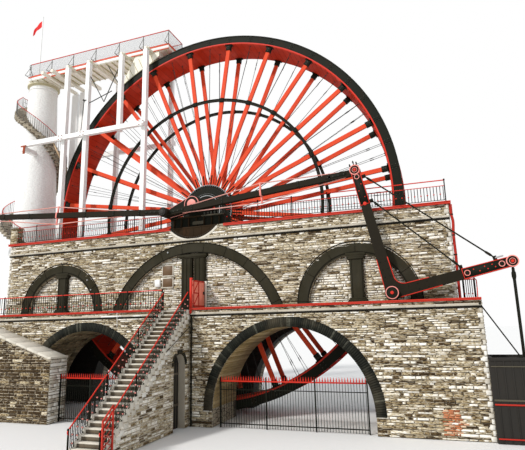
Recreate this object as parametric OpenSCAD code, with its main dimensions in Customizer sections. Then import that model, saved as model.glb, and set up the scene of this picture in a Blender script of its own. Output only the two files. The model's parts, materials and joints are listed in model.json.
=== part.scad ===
// Large pitch-back water wheel in its two-tier masonry housing, with the crank,
// the rods, the bell crank, the feed trough on its posts and the round tower.
// Lengths are in millimetres. X runs along the wall, Y into the wheel, Z up.
// The origin is on the ground under the axle, midway through the front wall.

/* [Wheel] */
// Outer diameter of the wheel
wheel_d = 22100; // [20000:50:22200]
// Width over the two shrouds
wheel_w = 1830; // [1500:10:1900]
// Radial depth of a shroud
shroud_depth = 500; // [350:10:600]
// Thickness of a shroud
shroud_t = 60; // [30:5:90]
// Thickness of the sole that closes the inside of the buckets
sole_t = 50; // [20:5:80]
// Number of buckets
bucket_n = 84; // [48:12:168]
// Thickness of a bucket board
bucket_t = 40; // [20:5:60]
// Number of spokes on each side
spoke_n = 24; // [16:4:32]
// Angle of the first spoke
spoke_phase = 6.84; // [0:0.02:14]
// Width of a spoke in the wheel's plane
spoke_w = 230; // [150:10:280]
// Thickness of a spoke along the axle
spoke_t = 130; // [80:5:180]
// Mean radius of the intermediate rings
mid_ring_r = 6880; // [5000:20:8000]
// Radial width of an intermediate ring
mid_ring_w = 150; // [80:5:250]
// Thickness of an intermediate ring
mid_ring_t = 30; // [15:5:50]
// Radius of the hub plates
hub_r = 1560; // [1200:20:1800]
// Thickness of a hub plate
hub_t = 70; // [40:5:100]
// Radius of the hub boss
hub_boss_r = 900; // [600:20:1100]
// Projection of the hub boss
hub_boss_t = 150; // [80:5:200]

/* [Axle and crank] */
// Diameter of the axle
axle_d = 530; // [400:10:600]
// Height of the axle above the ground
axle_z = 11200; // [11150:10:11600]
// Throw of the crank
crank_throw = 1480; // [1300:10:1520]
// Angle of the crank at rest
crank_angle = 197.5; // [190:0.5:205]
// Thickness of the crank arm
crank_t = 330; // [200:10:340]
// Outer radius of the crank boss round the axle
crank_boss_r = 430; // [380:10:450]
// Outer radius of the crank eye round its pin
crank_eye_r = 250; // [200:10:300]
// Diameter of the crank pin
crank_pin_d = 220; // [120:10:260]

/* [Rods] */
// Height of a rod's timber
rod_h = 300; // [200:10:340]
// Thickness of the left rod
rod_t = 250; // [180:10:250]
// Thickness of the connecting rod
con_t = 280; // [180:10:300]
// Gap between moving planes
plane_gap = 50; // [20:5:60]
// Left end of the main rod
rod_left_x = -16900; // [-20000:100:-14000]
// Rise of the main rod to the left, degrees
rod_rise = 4.2; // [0:0.1:6]

/* [Bell crank] */
// Pivot, distance from the right end of the upper wall
bell_inset = 2700; // [2300:10:3100]
// Pivot, height above the terrace
bell_rise = 455; // [420:5:560]
// Length of the upright arm
bell_up = 6015; // [5800:5:6300]
// Length of the level arm
bell_out = 5035; // [4600:5:5200]
// Lean of the bell crank at rest, degrees
bell_lean = 12.6; // [8:0.1:14]
// Radius of the pivot boss
bell_boss_r = 340; // [280:10:360]
// Radius of the end bosses
bell_eye_r = 240; // [180:10:300]
// Diameter of the pivot pin
bell_pin_d = 200; // [140:10:240]
// Length of the hanging rod
hang_len = 4150; // [3800:10:4300]
// Diameter of the hanging rod
hang_d = 120; // [80:5:160]

/* [Walls] */
// Length of the upper wall past the left end of the pit
wall_past = 750; // [350:50:1350]
// Thickness of the front and rear walls
wall_t = 1400; // [1200:50:1400]
// Clear space between the wheel's rim and the right end wall
right_clear = 610; // [300:10:900]
// Clear space between the wheel and a wall
wheel_gap = 350; // [300:10:500]
// Clear space between the wheel's rim and the left end wall
left_clear = 350; // [300:10:500]
// Thickness of the left end wall
left_end_t = 750; // [600:10:800]
// Thickness of the right end wall
right_end_t = 1400; // [1000:50:1500]
// Height of the axle above the upper deck
axle_drop = 1240; // [1100:10:1400]
// Height of the terrace floor
terrace_z = 5420; // [5300:10:5480]
// Depth of the terrace in front of the upper wall
terrace_d = 1450; // [1400:50:2000]
// Step of the lower tier past the left end of the upper wall
left_step = 700; // [300:50:1500]
// Step of the lower tier past the right end of the upper wall
lower_step = 820; // [600:10:1100]
// Depth of the pocket for the crank
pocket_d = 400; // [380:10:600]
// Clearance round the swinging crank
pocket_gap = 190; // [100:10:250]

/* [Arches] */
// Distance of the outer arches from the axle
arch_x = 5600; // [5400:10:5800]
// Inner radius of the lower arches
low_arch_r = 3780; // [3500:10:3900]
// Masonry between the crown of a lower arch and the string course above it
crown_gap = 170; // [50:10:400]
// Depth of an arch ring
ring_w = 440; // [300:10:500]
// Depth of an upper arch ring
upper_ring_w = 540; // [400:10:560]
// Projection of an arch ring from its wall
ring_out = 30; // [10:5:60]
// Distance of the side blind arches from the axle
blind_x = 8700; // [8600:10:8800]
// Inner radius of the side blind arches
blind_r = 2400; // [2200:10:2450]
// Inner radius of the middle blind arch
mid_blind_r = 4800; // [4600:10:4900]
// Masonry between the crown of the middle blind arch and the string course
upper_crown_gap = 80; // [30:10:300]
// Depth of the blind recesses
blind_d = 220; // [100:10:300]

/* [Stair] */
// Left side of the stair
stair_x0 = -900; // [-1000:10:-800]
// Width of the stair
stair_w = 1500; // [1300:10:1600]
// Number of risers
stair_n = 28; // [24:1:32]
// Run of a tread
tread_run = 235; // [225:5:280]

/* [Tower] */
// Gap between the tower's foot and the pit's masonry
tower_gap = 80; // [50:10:350]
// Tower centre behind the front wall's middle
tower_y = 2250; // [2200:10:2400]
// Radius of the tower at the ground
tower_r0 = 1900; // [1800:10:1910]
// Radius of the tower at the top
tower_r1 = 950; // [900:10:1050]
// Height of the cap on the tower
cap_h = 260; // [180:10:350]
// Number of treads of the winding stair
wind_n = 52; // [40:1:60]
// Length of a winding tread
wind_w = 720; // [600:10:750]

/* [Feed trough] */
// Gap between the top of the wheel and the trough
trough_gap = 130; // [80:10:250]
// Length of the trough past the middle of the tower
trough_past = 270; // [70:10:870]
// Right end of the trough
trough_right = -2750; // [-3200:50:-2500]
// Depth of the trough's edge beams
trough_h = 280; // [200:10:360]
// Height of a railing
rail_h = 1030; // [900:10:1150]
// Size of a support post
post_w = 280; // [240:10:340]
// First, second and third post from the right
post_x1 = -4040; // [-4200:10:-3900]
// Second post
post_x2 = -8500; // [-8700:10:-8300]
// Third post
post_x3 = -10250; // [-10500:10:-10000]
// Depth of the long beam between the posts, below the trough
beam_drop = 5500; // [5000:50:6000]

/* [Hidden] */

$fn = 96;
e = 0.3;
wheel_r = wheel_d / 2;
deck_z = axle_z - axle_drop;
trough_z = axle_z + wheel_r + trough_gap;
beam_z = trough_z - beam_drop;
tower_h = trough_z - cap_h;
wall_right = wheel_r + right_clear + right_end_t;
pit_left = -(wheel_r + left_clear + left_end_t);
wall_left = pit_left - wall_past;
tower_x = pit_left - tower_gap - tower_r0;
trough_left = tower_x - trough_past;
lower_right = wall_right + lower_step;
lower_left = wall_left - left_step;
deck_string_drop = 820;
low_string_drop = 290;
mid_blind_drop = terrace_z - deck_z + deck_string_drop + upper_crown_gap + upper_ring_w + mid_blind_r;
low_arch_z = terrace_z - low_string_drop - crown_gap - ring_w - low_arch_r;
post_pitch = 2000;
bar_pitch = 150;
fence_h = 2400;
fence_out = 500;
stair_rail_h = 950;
flank_r = 530;
flank_z = 2850;
flank_d = 950;
ladder_out = 120;
ladder_w = 400;
ladder_foot = 600;
ladder_head = 1200;
flag_h = 5400;
flag_in = 700;
trough_end = 1200;
bell_x = wall_right - bell_inset;
bell_z = terrace_z + bell_rise;
wall_front = -wall_t / 2;
wall_back = wall_t / 2;
wheel_y = wall_back + wheel_gap;
wheel_back = wheel_y + wheel_w;
rear_front = wheel_back + wheel_gap;
rear_back = rear_front + wall_t;
sole_r = wheel_r - shroud_depth;
axle_r = axle_d / 2;
tier_front = wall_front - terrace_d;
crank_back = wall_front + 140;
crank_face = crank_back - crank_t;
con_back = crank_face - plane_gap;
con_front = con_back - con_t;
rod_back = con_front - plane_gap;
rod_front = rod_back - rod_t;
pin_x = crank_throw * cos(crank_angle);
pin_z = axle_z + crank_throw * sin(crank_angle);
bell_top_x = bell_x - bell_up * sin(bell_lean);
bell_top_z = bell_z + bell_up * cos(bell_lean);
bell_end_x = bell_x + bell_out * cos(bell_lean);
bell_end_z = bell_z + bell_out * sin(bell_lean);
bell_mid_y = (rod_back + rod_front) / 2;
bell_t = rod_t - 20;
fork_gap = 100;
hang_pin_r = 80;
bell_arm_r = 0.8 * bell_boss_r;
elbow_r = 420;
truss_h = 530;
truss_w = 40;
main_queen = 7300;
main_span = [4600, 5800];
con_queen = 5570;
con_span = [4600, 4400];
ped_t = 160;
stay_t = 50;
stay_w = 60;
stay_ear_r = 70;
stay_pin_r = 25;
stay_off = 330;
stay_up = [5600, 4350];
stay_out = [4450, 3050];
pocket_r = crank_throw + crank_eye_r + pocket_gap;
edge_h = 130;
deck_out = 110;
coping_h = 100;
floor_top = terrace_z + coping_h;
riser = terrace_z / stair_n;
stair_x1 = stair_x0 + stair_w;
deck_top = trough_z + trough_h;
pier_x = -6700;
wing_h = 3150;
wing_d = 1250;
band_x0 = 1850;
string_h = 160;
column_w = 600;
pilaster_gap = 160;
mid_head = column_w + pilaster_gap;
mid_top = terrace_z - mid_blind_drop + sqrt(mid_blind_r * mid_blind_r - mid_head * mid_head) - 10;
capital_w = 860;
capital_h = 150;
foot_w = 3300;
foot_h = 690;
rear_foot_w = 900;
apron_x0 = -0.58 * wheel_r;
apron_x1 = -0.317 * wheel_r;
apron_z0 = axle_z + sqrt(pow(wheel_r + 90, 2) - apron_x0 * apron_x0) + 35;
mid_post_x = -5900;
far_post_in = 550;
far_post_x = pit_left + far_post_in;
pier_post_w = 550;
pier_post_x = pit_left - pier_post_w / 2;
pier_post_back = 100;
beam_t = 250;
beam_h = 300;
beam_x0 = tower_x + 500;
joist_t = 200;
tie_rod_w = 30;
bracket_in = 50;
tie_w = 40;
tie_apex_drop = 3210;
tie_left_drop = 1180;
tie_right_drop = 880;
tie_mid_drop = 2200;
tie_low_drop = 3080;
tie_mid_end = [960, 640];
tie_low_end = [560, 2560];
gate_x = stair_x1 + 90;
gate_y = tier_front + 130;
box_x0 = lower_right;
box_l = 3470;
box_x1 = lower_right + box_l;
box_half = 950;
box_t = 150;
box_z1 = 3150;
post_y1 = (wall_back + wall_front) / 2 + 450;
post_y2 = rear_front + wall_t - 950;
wind_top = trough_z - 1530;
wind_rise = (wind_top - deck_z) / wind_n;
wind_step = -9.2;
red = [0.80, 0.16, 0.08];
black = [0.10, 0.11, 0.09];
stone = [0.66, 0.60, 0.50];
white = [0.92, 0.90, 0.84];
orange = [0.88, 0.27, 0.12];
maroon = [0.35, 0.06, 0.05];

// A profile in the plane of the wall, pushed from y0 to y1
module wall_prism(y0, y1) {
  translate([0, y1, 0])
    rotate([90, 0, 0])
      linear_extrude(height = y1 - y0)
        children();
}

// A disc or ring about the Y direction, from y0 to y1
module y_ring(x, z, r_out, r_in, y0, y1) {
  translate([x, y1, z])
    rotate([90, 0, 0])
      difference() {
        cylinder(r = r_out, h = y1 - y0);
        if (r_in > 0)
          translate([0, 0, -1])
            cylinder(r = r_in, h = y1 - y0 + 2);
      }
}

// A plain box between two corners
module box(x0, x1, y0, y1, z0, z1) {
  translate([x0, y0, z0])
    cube([x1 - x0, y1 - y0, z1 - z0]);
}

// A flat bar of width w between two points of a plane profile
module bar2d(a, b, w) {
  d = [b[0] - a[0], b[1] - a[1]];
  n = norm(d);
  translate(a)
    rotate(atan2(d[1], d[0]))
      translate([0, -w / 2])
        square([n, w]);
}

// The flanks of a tapered link between bosses of radius ra at a and rb at b
module link2d(a, b, ra, rb) {
  d = [b[0] - a[0], b[1] - a[1]];
  n = norm(d);
  translate(a)
    rotate(atan2(d[1], d[0]))
      polygon([[0, 0.96 * ra], [0, -0.96 * ra], [n, -0.96 * rb], [n, 0.96 * rb]]);
}

// The opening of a lower arch, down to the ground
module low_arch2d(x, r) {
  translate([x, low_arch_z])
    circle(r = r);
  translate([x - r, -10])
    square([2 * r, low_arch_z + 10]);
}

// A round-headed shape of radius r about (x, z), kept above z0
module head2d(x, z, r, z0) {
  intersection() {
    translate([x, z])
      circle(r = r);
    translate([x - r - 10, z0])
      square([2 * r + 20, r + z - z0 + 10]);
  }
}

// The three blind recesses of an upper wall
module blind2d(grow) {
  head2d(-blind_x, terrace_z, blind_r + grow, terrace_z);
  head2d(blind_x, terrace_z, blind_r + grow, terrace_z);
  head2d(0, terrace_z - mid_blind_drop, mid_blind_r + grow, terrace_z);
}

// A bearing wall with two through arches and three blind ones
module bearing_wall(x0, y0, y1, face, sgn) {
  difference() {
    wall_prism(y0, y1)
      difference() {
        translate([x0, 0])
          square([wall_right - x0, deck_z]);
        low_arch2d(-arch_x, low_arch_r);
        low_arch2d(arch_x, low_arch_r);
      }
    wall_prism(face + min(0, sgn * blind_d), face + max(0, sgn * blind_d))
      blind2d(0);
    children();
  }
}

module front_wall() {
  color(stone)
    bearing_wall(wall_left, wall_front, wall_back, wall_front, 1)
      y_ring(0, axle_z, pocket_r, 0, wall_front - 10, wall_front + pocket_d);
}

module rear_wall() {
  color(stone)
    bearing_wall(pit_left, rear_front, rear_back, rear_back, -1);
}

module left_end_wall() {
  color(stone)
    box(pit_left, pit_left + left_end_t, wall_back, rear_front, 0, deck_z);
}

module right_end_wall() {
  color(stone)
    box(wall_right - right_end_t, wall_right, wall_back, rear_front, 0, deck_z);
}

// Low plinth past the right end of the upper wall
module right_plinth() {
  color(stone)
    box(wall_right, lower_right, wall_front, rear_back, 0, terrace_z);
}

// The lower tier, with a slot in its terrace that the bell crank's arm swings into
module lower_tier() {
  slot_y = bell_t / 2 + 25;
  slot_x = bell_x + bell_arm_r;
  slot_z = bell_z - bell_arm_r - 110;
  slot_end = lower_right + 10;
  color(stone)
    difference() {
      wall_prism(tier_front, wall_front)
        difference() {
          translate([lower_left, 0])
            square([lower_right - lower_left, terrace_z]);
          low_arch2d(-arch_x, low_arch_r);
          low_arch2d(arch_x, low_arch_r);
        }
      wall_prism(bell_mid_y - slot_y, bell_mid_y + slot_y)
        polygon([
          [slot_x, terrace_z + 10], [slot_x, slot_z - 40],
          [slot_end, slot_z - 40 - (slot_end - bell_x) * tan(15.8)], [slot_end, terrace_z + 10]
        ]);
    }
}

// Arch rings of dark slate, proud of the wall
module lower_arch_rings() {
  color(black)
    for (s = [-1, 1])
      wall_prism(tier_front - ring_out, tier_front)
        difference() {
          head2d(s * arch_x, low_arch_z, low_arch_r + ring_w, low_arch_z);
          translate([s * arch_x, low_arch_z])
            circle(r = low_arch_r);
        }
}

module upper_arch_rings() {
  color(black)
    wall_prism(wall_front - ring_out, wall_front)
      difference() {
        blind2d(upper_ring_w);
        blind2d(0);
      }
}

// Iron-grey columns in the middle of each blind arch
module upper_columns() {
  color(black) {
    for (s = [-1, 1]) {
      box(s * blind_x - column_w / 2, s * blind_x + column_w / 2, wall_front, wall_front + blind_d,
        terrace_z + 250, terrace_z + 0.98 * blind_r - capital_h);
      for (z = [terrace_z, terrace_z + 0.98 * blind_r - capital_h])
        box(s * blind_x - capital_w / 2, s * blind_x + capital_w / 2, wall_front - 20, wall_front + blind_d,
          z, z + (z > terrace_z ? capital_h - 20 : 250));
      box(s > 0 ? pilaster_gap / 2 : -pilaster_gap / 2 - column_w, s > 0 ? pilaster_gap / 2 + column_w : -pilaster_gap / 2,
        wall_front, wall_front + blind_d, terrace_z, mid_top - capital_h);
    }
    box(-mid_head, mid_head, wall_front - 20, wall_front + blind_d, mid_top - capital_h, mid_top);
  }
}

// Deck slab edge on the upper wall, open at the crank's pocket
module deck_edge() {
  color(red)
    for (s = [-1, 1])
      difference() {
        box(s > 0 ? band_x0 : wall_left - deck_out, s > 0 ? wall_right + deck_out : 0,
          wall_front - deck_out, wall_front, deck_z - edge_h, deck_z);
        y_ring(0, axle_z, pocket_r, 0, wall_front - deck_out - 10, wall_front + 10);
      }
}

// String courses on the upper wall and under the terrace
module string_courses() {
  color(stone) {
    box(wall_left, wall_right, wall_front - 60, wall_front, deck_z - deck_string_drop,
      deck_z - deck_string_drop + string_h);
    for (s = [-1, 1])
      box(s > 0 ? stair_x1 + 60 : lower_left, s > 0 ? lower_right : stair_x0 - 60,
        tier_front - ring_out + 5, tier_front, terrace_z - low_string_drop,
        terrace_z - low_string_drop + string_h);
  }
}

module terrace_edge() {
  color(red)
    box(lower_left, stair_x0 - 60, tier_front - deck_out, tier_front + 60, terrace_z, floor_top);
  color(red)
    box(stair_x1 + 60, lower_right, tier_front - deck_out, tier_front + 60, terrace_z, floor_top);
}

// A straight railing along X: posts, two low rails, a top rail and bars
module rail_x(x0, x1, y, z, h, pitch, post_pitch) {
  n = floor((x1 - x0) / pitch);
  m = max(1, round((x1 - x0) / post_pitch));
  box(x0, x1, y - 25, y + 25, z + h - 50, z + h);
  box(x0, x1, y - 15, y + 15, z + 100, z + 140);
  for (i = [0 : n])
    box(x0 + (x1 - x0) * i / n - 9, x0 + (x1 - x0) * i / n + 9, y - 9, y + 9, z + 140, z + h - 50);
  for (i = [0 : m])
    box(x0 + (x1 - x0 - 50) * i / m, x0 + (x1 - x0 - 50) * i / m + 50, y - 25, y + 25, z, z + h - 50);
}

module deck_railing() {
  color(red) {
    rail_x(wall_left + 100, -pocket_r - 60, wall_front + 60, deck_z, rail_h, bar_pitch, post_pitch);
    rail_x(band_x0 + 60, wall_right - 60, wall_front + 60, deck_z, rail_h, bar_pitch, post_pitch);
  }
}

module terrace_railing() {
  color(red) {
    rail_x(lower_left + 60, stair_x0 - 120, tier_front - 30, floor_top, rail_h - 80, bar_pitch, post_pitch);
    rail_x(wall_right + 2 * ladder_out, lower_right - 60, wall_front + 60, terrace_z, rail_h - 80, bar_pitch,
      post_pitch);
  }
}

// The stair: solid masonry with a small arched opening through its flank
module stair_steps() {
  color(stone)
    difference() {
      translate([stair_x0, 0, 0])
        rotate([90, 0, 90])
          linear_extrude(height = stair_w)
            polygon(concat(
              [[tier_front, 0]],
              [for (i = [0 : stair_n - 1]) each [
                [tier_front - i * tread_run, terrace_z - i * riser],
                [tier_front - (i + 1) * tread_run, terrace_z - i * riser]
              ]],
              [[tier_front - stair_n * tread_run, 0]]
            ));
      translate([stair_x0 - 10, tier_front - flank_d, flank_z])
        rotate([0, 90, 0])
          cylinder(r = flank_r, h = stair_w + 20);
      box(stair_x0 - 10, stair_x1 + 10, tier_front - flank_d - flank_r, tier_front - flank_d + flank_r, -10,
        flank_z);
    }
}

// Height of the stair's line of nosings at a distance in front of the tier
function nosing(d) = terrace_z - d * riser / tread_run;

module stair_railings() {
  d1 = stair_n * tread_run - 120;
  color(red)
    for (x = [stair_x0 + 30, stair_x1 - 70])
      translate([x, 0, 0])
        rotate([90, 0, 90])
          linear_extrude(height = 40) {
            bar2d([tier_front - 60, nosing(60) + stair_rail_h], [tier_front - d1, nosing(d1) + stair_rail_h], 50);
            for (i = [0 : stair_n - 1])
              translate([tier_front - (i + 0.5) * tread_run - 12, terrace_z - i * riser])
                square([24, stair_rail_h - riser / 2]);
          }
}

// Post of the terrace gate with its two pintles
module gate_post() {
  color(red) {
    box(gate_x - 50, gate_x + 50, tier_front - 50, tier_front + 50, floor_top, floor_top + 1500);
    for (z = [250, 1150]) {
      box(gate_x - 20, gate_x + 20, tier_front + 50, gate_y, floor_top + z - 40, floor_top + z);
      translate([gate_x, gate_y, floor_top + z - 40])
        cylinder(r = 20, h = 40);
      translate([gate_x, gate_y, floor_top + z - 1])
        cylinder(r = 9, h = 90);
    }
  }
}

module terrace_gate() {
  color(red)
    difference() {
      union() {
        box(gate_x - 15, gate_x + 15, gate_y + 45, wall_front - 60, floor_top + 60, floor_top + 1400);
        for (z = [250, 1150]) {
          box(gate_x - 10, gate_x + 10, gate_y, gate_y + 60, floor_top + z + e, floor_top + z + 70);
          translate([gate_x, gate_y, floor_top + z + e])
            cylinder(r = 22, h = 70);
        }
      }
      for (z = [250, 1150])
        translate([gate_x, gate_y, floor_top + z - 10])
          cylinder(r = 10, h = 100);
    }
}

// Thick wing wall beside the lower left arch, its top raking up to the terrace
module wing_wall() {
  color(stone)
    wall_prism(tier_front - wing_d, tier_front - ring_out - e)
      polygon([
        [lower_left, 0], [pier_x, 0], [pier_x, wing_h], [pier_x - 150, wing_h], [lower_left, terrace_z - 30]
      ]);
}

module pit_fence() {
  color(red)
    rail_x(pier_x + 9 + e, stair_x0 - 9 - e, tier_front - fence_out, 0, fence_h, 2 * bar_pitch, post_pitch);
}

module end_ladder() {
  color(red) {
    for (y = [0, ladder_w])
      box(wall_right + ladder_out, wall_right + ladder_out + 60, y, y + 40, terrace_z + e, deck_z);
    for (i = [0 : 14])
      box(wall_right + ladder_out + 15, wall_right + ladder_out + 45, 40, ladder_w, terrace_z + i * 300,
        terrace_z + i * 300 + 30);
    for (z = [terrace_z + ladder_foot, deck_z - ladder_head])
      box(wall_right, wall_right + ladder_out, 0, 40, z, z + 40);
  }
}

// Radius of the tower at a height
function tower_r(z) = tower_r0 + (tower_r1 - tower_r0) * z / tower_h;

module tower_shaft() {
  color(white)
    translate([tower_x, tower_y, 0])
      rotate_extrude()
        polygon([[0, 0], [tower_r0, 0], [tower_r1, tower_h], [0, tower_h]]);
}

module tower_cap() {
  color(white)
    translate([tower_x, tower_y, 0])
      rotate_extrude()
        polygon([
          [0, tower_h], [tower_r1, tower_h], [tower_r1 + 160, tower_h + cap_h / 2],
          [tower_r1 + 160, tower_h + cap_h], [0, tower_h + cap_h]
        ]);
}

// Treads that wind round the tower from the deck to the landing
module tower_stair() {
  color(stone)
    for (i = [0 : wind_n - 1])
      translate([tower_x, tower_y, deck_z + i * wind_rise])
        rotate(300 + i * wind_step)
          translate([tower_r(deck_z + i * wind_rise) + e, -180, 0])
            cube([wind_w, 360, wind_rise - e]);
}

module tower_stair_railing() {
  color(black)
    for (i = [0 : 3 : wind_n - 1])
      translate([tower_x, tower_y, deck_z + (i + 1) * wind_rise])
        rotate(300 + i * wind_step)
          translate([tower_r(deck_z + i * wind_rise) + wind_w - 60, -15, 0])
            cube([30, 30, stair_rail_h]);
}

module flagpole() {
  color(white)
    translate([tower_x - 70, wheel_y + flag_in, deck_top])
      cylinder(r = 45, h = flag_h, $fn = 24);
}

module trough() {
  color(white)
    difference() {
      box(trough_left, trough_right, wheel_y, wheel_back, trough_z, deck_top);
      box(tower_x + trough_end, trough_right - 60, wheel_y + 450, wheel_back - 450, trough_z + 60, deck_top + 10);
    }
}

// Curved cream apron under the trough's mouth, hung on two cheek plates
module trough_apron() {
  color(white)
    difference() {
      wall_prism(wheel_y + 60, wheel_back - 60)
        difference() {
          polygon([
            [apron_x0, apron_z0], [apron_x0 + 150, apron_z0 - 90], [apron_x1, trough_z - 360],
            [apron_x1, trough_z], [apron_x0 + 1100, trough_z]
          ]);
          translate([0, axle_z])
            circle(r = wheel_r + 90, $fn = 720);
        }
      wall_prism(wheel_y + 160, wheel_back - 160)
        polygon([
          [apron_x0 + 300, apron_z0 - 200], [apron_x1 - 100, trough_z - 600],
          [apron_x1 - 100, trough_z + 10], [apron_x0 + 1300, trough_z + 10]
        ]);
      for (x = [post_x1, mid_post_x])
        box(x - joist_t / 2 - e, x + joist_t / 2 + e, wheel_y, wheel_back, trough_z - joist_t - e, trough_z + 10);
    }
}

module trough_railing() {
  color(red) {
    rail_x(trough_left + 100, trough_right, wheel_y + 30, deck_top, rail_h, 500, 1650);
    rail_x(trough_left + 100, trough_right, wheel_back - 30, deck_top, rail_h, 500, 1650);
    for (z = [110, rail_h - 50])
      box(trough_right - 50, trough_right, wheel_y + 55, wheel_back - 55, deck_top + z, deck_top + z + 30);
  }
}

module trough_joists() {
  color(white)
    for (x = [post_x1, post_x2, post_x3, mid_post_x, far_post_x, pier_post_x])
      box(x - joist_t / 2, x + joist_t / 2, post_y1 - post_w / 2, post_y2 + post_w / 2, trough_z - joist_t, trough_z);
}

module support_posts() {
  top = trough_z - joist_t;
  color(white) {
    for (x = [post_x1, post_x2, post_x3])
      box(x - post_w / 2, x + post_w / 2, post_y1 - post_w / 2, post_y1 + post_w / 2, deck_z, top);
    for (x = [post_x1, post_x2])
      box(x - post_w / 2, x + post_w / 2, post_y2 - post_w / 2, post_y2 + post_w / 2, deck_z, top);
    box(far_post_x - post_w, far_post_x + post_w, post_y2 - post_w / 2, post_y2 + post_w / 2, deck_z, top);
    box(pier_post_x - pier_post_w / 2, pier_post_x + pier_post_w / 2,
      post_y2 - post_w / 2 + pier_post_back, post_y2 + post_w / 2 + pier_post_back, 0, top);
    box(mid_post_x - post_w / 2, mid_post_x + post_w / 2, post_y1 - post_w / 2, post_y1 + post_w / 2, beam_z, top);
  }
}

module support_beams() {
  r = tower_r(beam_z - beam_h) + e;
  reach = sqrt(r * r - pow(beam_x0 + bracket_in - tower_x, 2));
  y1 = post_y1 - post_w / 2 - beam_t;
  y2 = post_y2 + post_w / 2;
  color(white) {
    box(beam_x0, post_x1 + post_w / 2, y1, y1 + beam_t, beam_z, beam_z + beam_h);
    box(beam_x0 + bracket_in, beam_x0 + bracket_in + beam_h, y1, tower_y - reach, beam_z - beam_h, beam_z);
    box(far_post_x - post_w, post_x1 + post_w / 2, y2, y2 + beam_t, beam_z, beam_z + beam_h);
  }
}

// A tie rod of the near frame from a post's side, s = 1 for a right side, to a point
module tie2d(x, z, s, b) {
  k = tie_w / 2 * abs(b[1] - z) / norm([b[0] - x, b[1] - z]) + e;
  bar2d([x + s * k, z], b, tie_w);
}

module support_rods() {
  left = post_x2 + post_w / 2;
  right = mid_post_x - post_w / 2;
  apex = [(left + right) / 2 + 10, trough_z - tie_apex_drop];
  color(black)
    wall_prism(post_y1 - 20, post_y1 + 20) {
      tie2d(left, trough_z - tie_left_drop, 1, apex);
      tie2d(right, trough_z - tie_right_drop, -1, apex);
      tie2d(right, trough_z - tie_mid_drop, -1, [right - tie_mid_end[0], trough_z - tie_mid_end[1]]);
      tie2d(left, trough_z - tie_low_drop, 1, [right - tie_low_end[0], trough_z - tie_low_end[1]]);
    }
}

module axle_bearing(y0, y1, w, h, half) {
  difference() {
    wall_prism(y0, y1)
      union() {
        translate([-w / 2, deck_z])
          square([w, h]);
        translate([-half, deck_z + h - 1])
          square([2 * half, axle_drop - h + 1]);
        translate([0, axle_z])
          circle(r = half);
      }
    y_ring(0, axle_z, axle_r + 1, 0, y0 - 10, y1 + 10);
  }
}

module front_bearing() {
  color(black)
    axle_bearing(wall_front + pocket_d + 60, wall_back, foot_w, foot_h, 1.5 * axle_r + 100);
}

module rear_bearing() {
  color(black)
    axle_bearing(rear_front, rear_front + 900, rear_foot_w, foot_h / 2, 1.3 * axle_r + 60);
}

module wheel_front_shroud() {
  color(black)
    y_ring(0, axle_z, wheel_r, sole_r, wheel_y, wheel_y + shroud_t);
}

module wheel_rear_shroud() {
  color(black)
    y_ring(0, axle_z, wheel_r, sole_r, wheel_back - shroud_t, wheel_back);
}

module wheel_sole() {
  color(maroon)
    y_ring(0, axle_z, sole_r, sole_r - sole_t, wheel_y, wheel_back);
}

module wheel_buckets() {
  color(red)
    for (i = [0 : bucket_n - 1])
      translate([0, wheel_back - shroud_t - e, axle_z])
        rotate([90, 0, 0])
          rotate(i * 360 / bucket_n)
            linear_extrude(height = wheel_w - 2 * shroud_t - 2 * e)
              polygon([
                [sole_r + e, 0], [sole_r + 200, 0], [wheel_r - 5, 260],
                [wheel_r - 5, 260 + bucket_t * 1.4], [sole_r + 200 - bucket_t * 0.3, bucket_t], [sole_r + e, bucket_t]
              ]);
}

module spoke_set(y0) {
  for (i = [0 : spoke_n - 1])
    translate([0, y0 + spoke_t, axle_z])
      rotate([90, 0, 0])
        rotate(spoke_phase + i * 360 / spoke_n)
          translate([hub_boss_r + 40, -spoke_w / 2, 0])
            cube([sole_r - sole_t - 2 - hub_boss_r - 40, spoke_w, spoke_t]);
}

module front_spokes() {
  color(orange)
    spoke_set(wheel_y + mid_ring_t);
}

module rear_spokes() {
  color(orange)
    spoke_set(wheel_back - mid_ring_t - spoke_t);
}

module mid_ring(y0) {
  color(black)
    y_ring(0, axle_z, mid_ring_r + mid_ring_w / 2, mid_ring_r - mid_ring_w / 2, y0, y0 + mid_ring_t);
}

module front_mid_ring() {
  mid_ring(wheel_y);
}

module rear_mid_ring() {
  mid_ring(wheel_back - mid_ring_t);
}

module front_hub() {
  color(black) {
    y_ring(0, axle_z, hub_r, axle_r + e, wheel_y + mid_ring_t - hub_t, wheel_y + mid_ring_t);
    y_ring(0, axle_z, hub_boss_r, axle_r + e, wheel_y - hub_boss_t, wheel_y + 300);
  }
}

module rear_hub() {
  color(black) {
    y_ring(0, axle_z, hub_r, axle_r + e, wheel_back - mid_ring_t, wheel_back - mid_ring_t + hub_t);
    y_ring(0, axle_z, hub_boss_r, axle_r + e, wheel_back - 300, wheel_back + hub_boss_t);
  }
}

module wheel_tie_rods() {
  color(black)
    for (y = [wheel_y + mid_ring_t + spoke_t + 2 * tie_rod_w, wheel_back - mid_ring_t - spoke_t - tie_rod_w])
      for (i = [0 : spoke_n - 1])
        translate([0, y, axle_z])
          rotate([90, 0, 0])
            rotate(spoke_phase + (i + 0.5) * 360 / spoke_n)
              translate([hub_boss_r + e, -tie_rod_w / 2, 0])
                cube([sole_r - sole_t - hub_boss_r - 2 * e, tie_rod_w, tie_rod_w]);
}

module axle() {
  color(red)
    y_ring(0, axle_z, axle_r, 0, crank_face, rear_front + 960);
}

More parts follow.
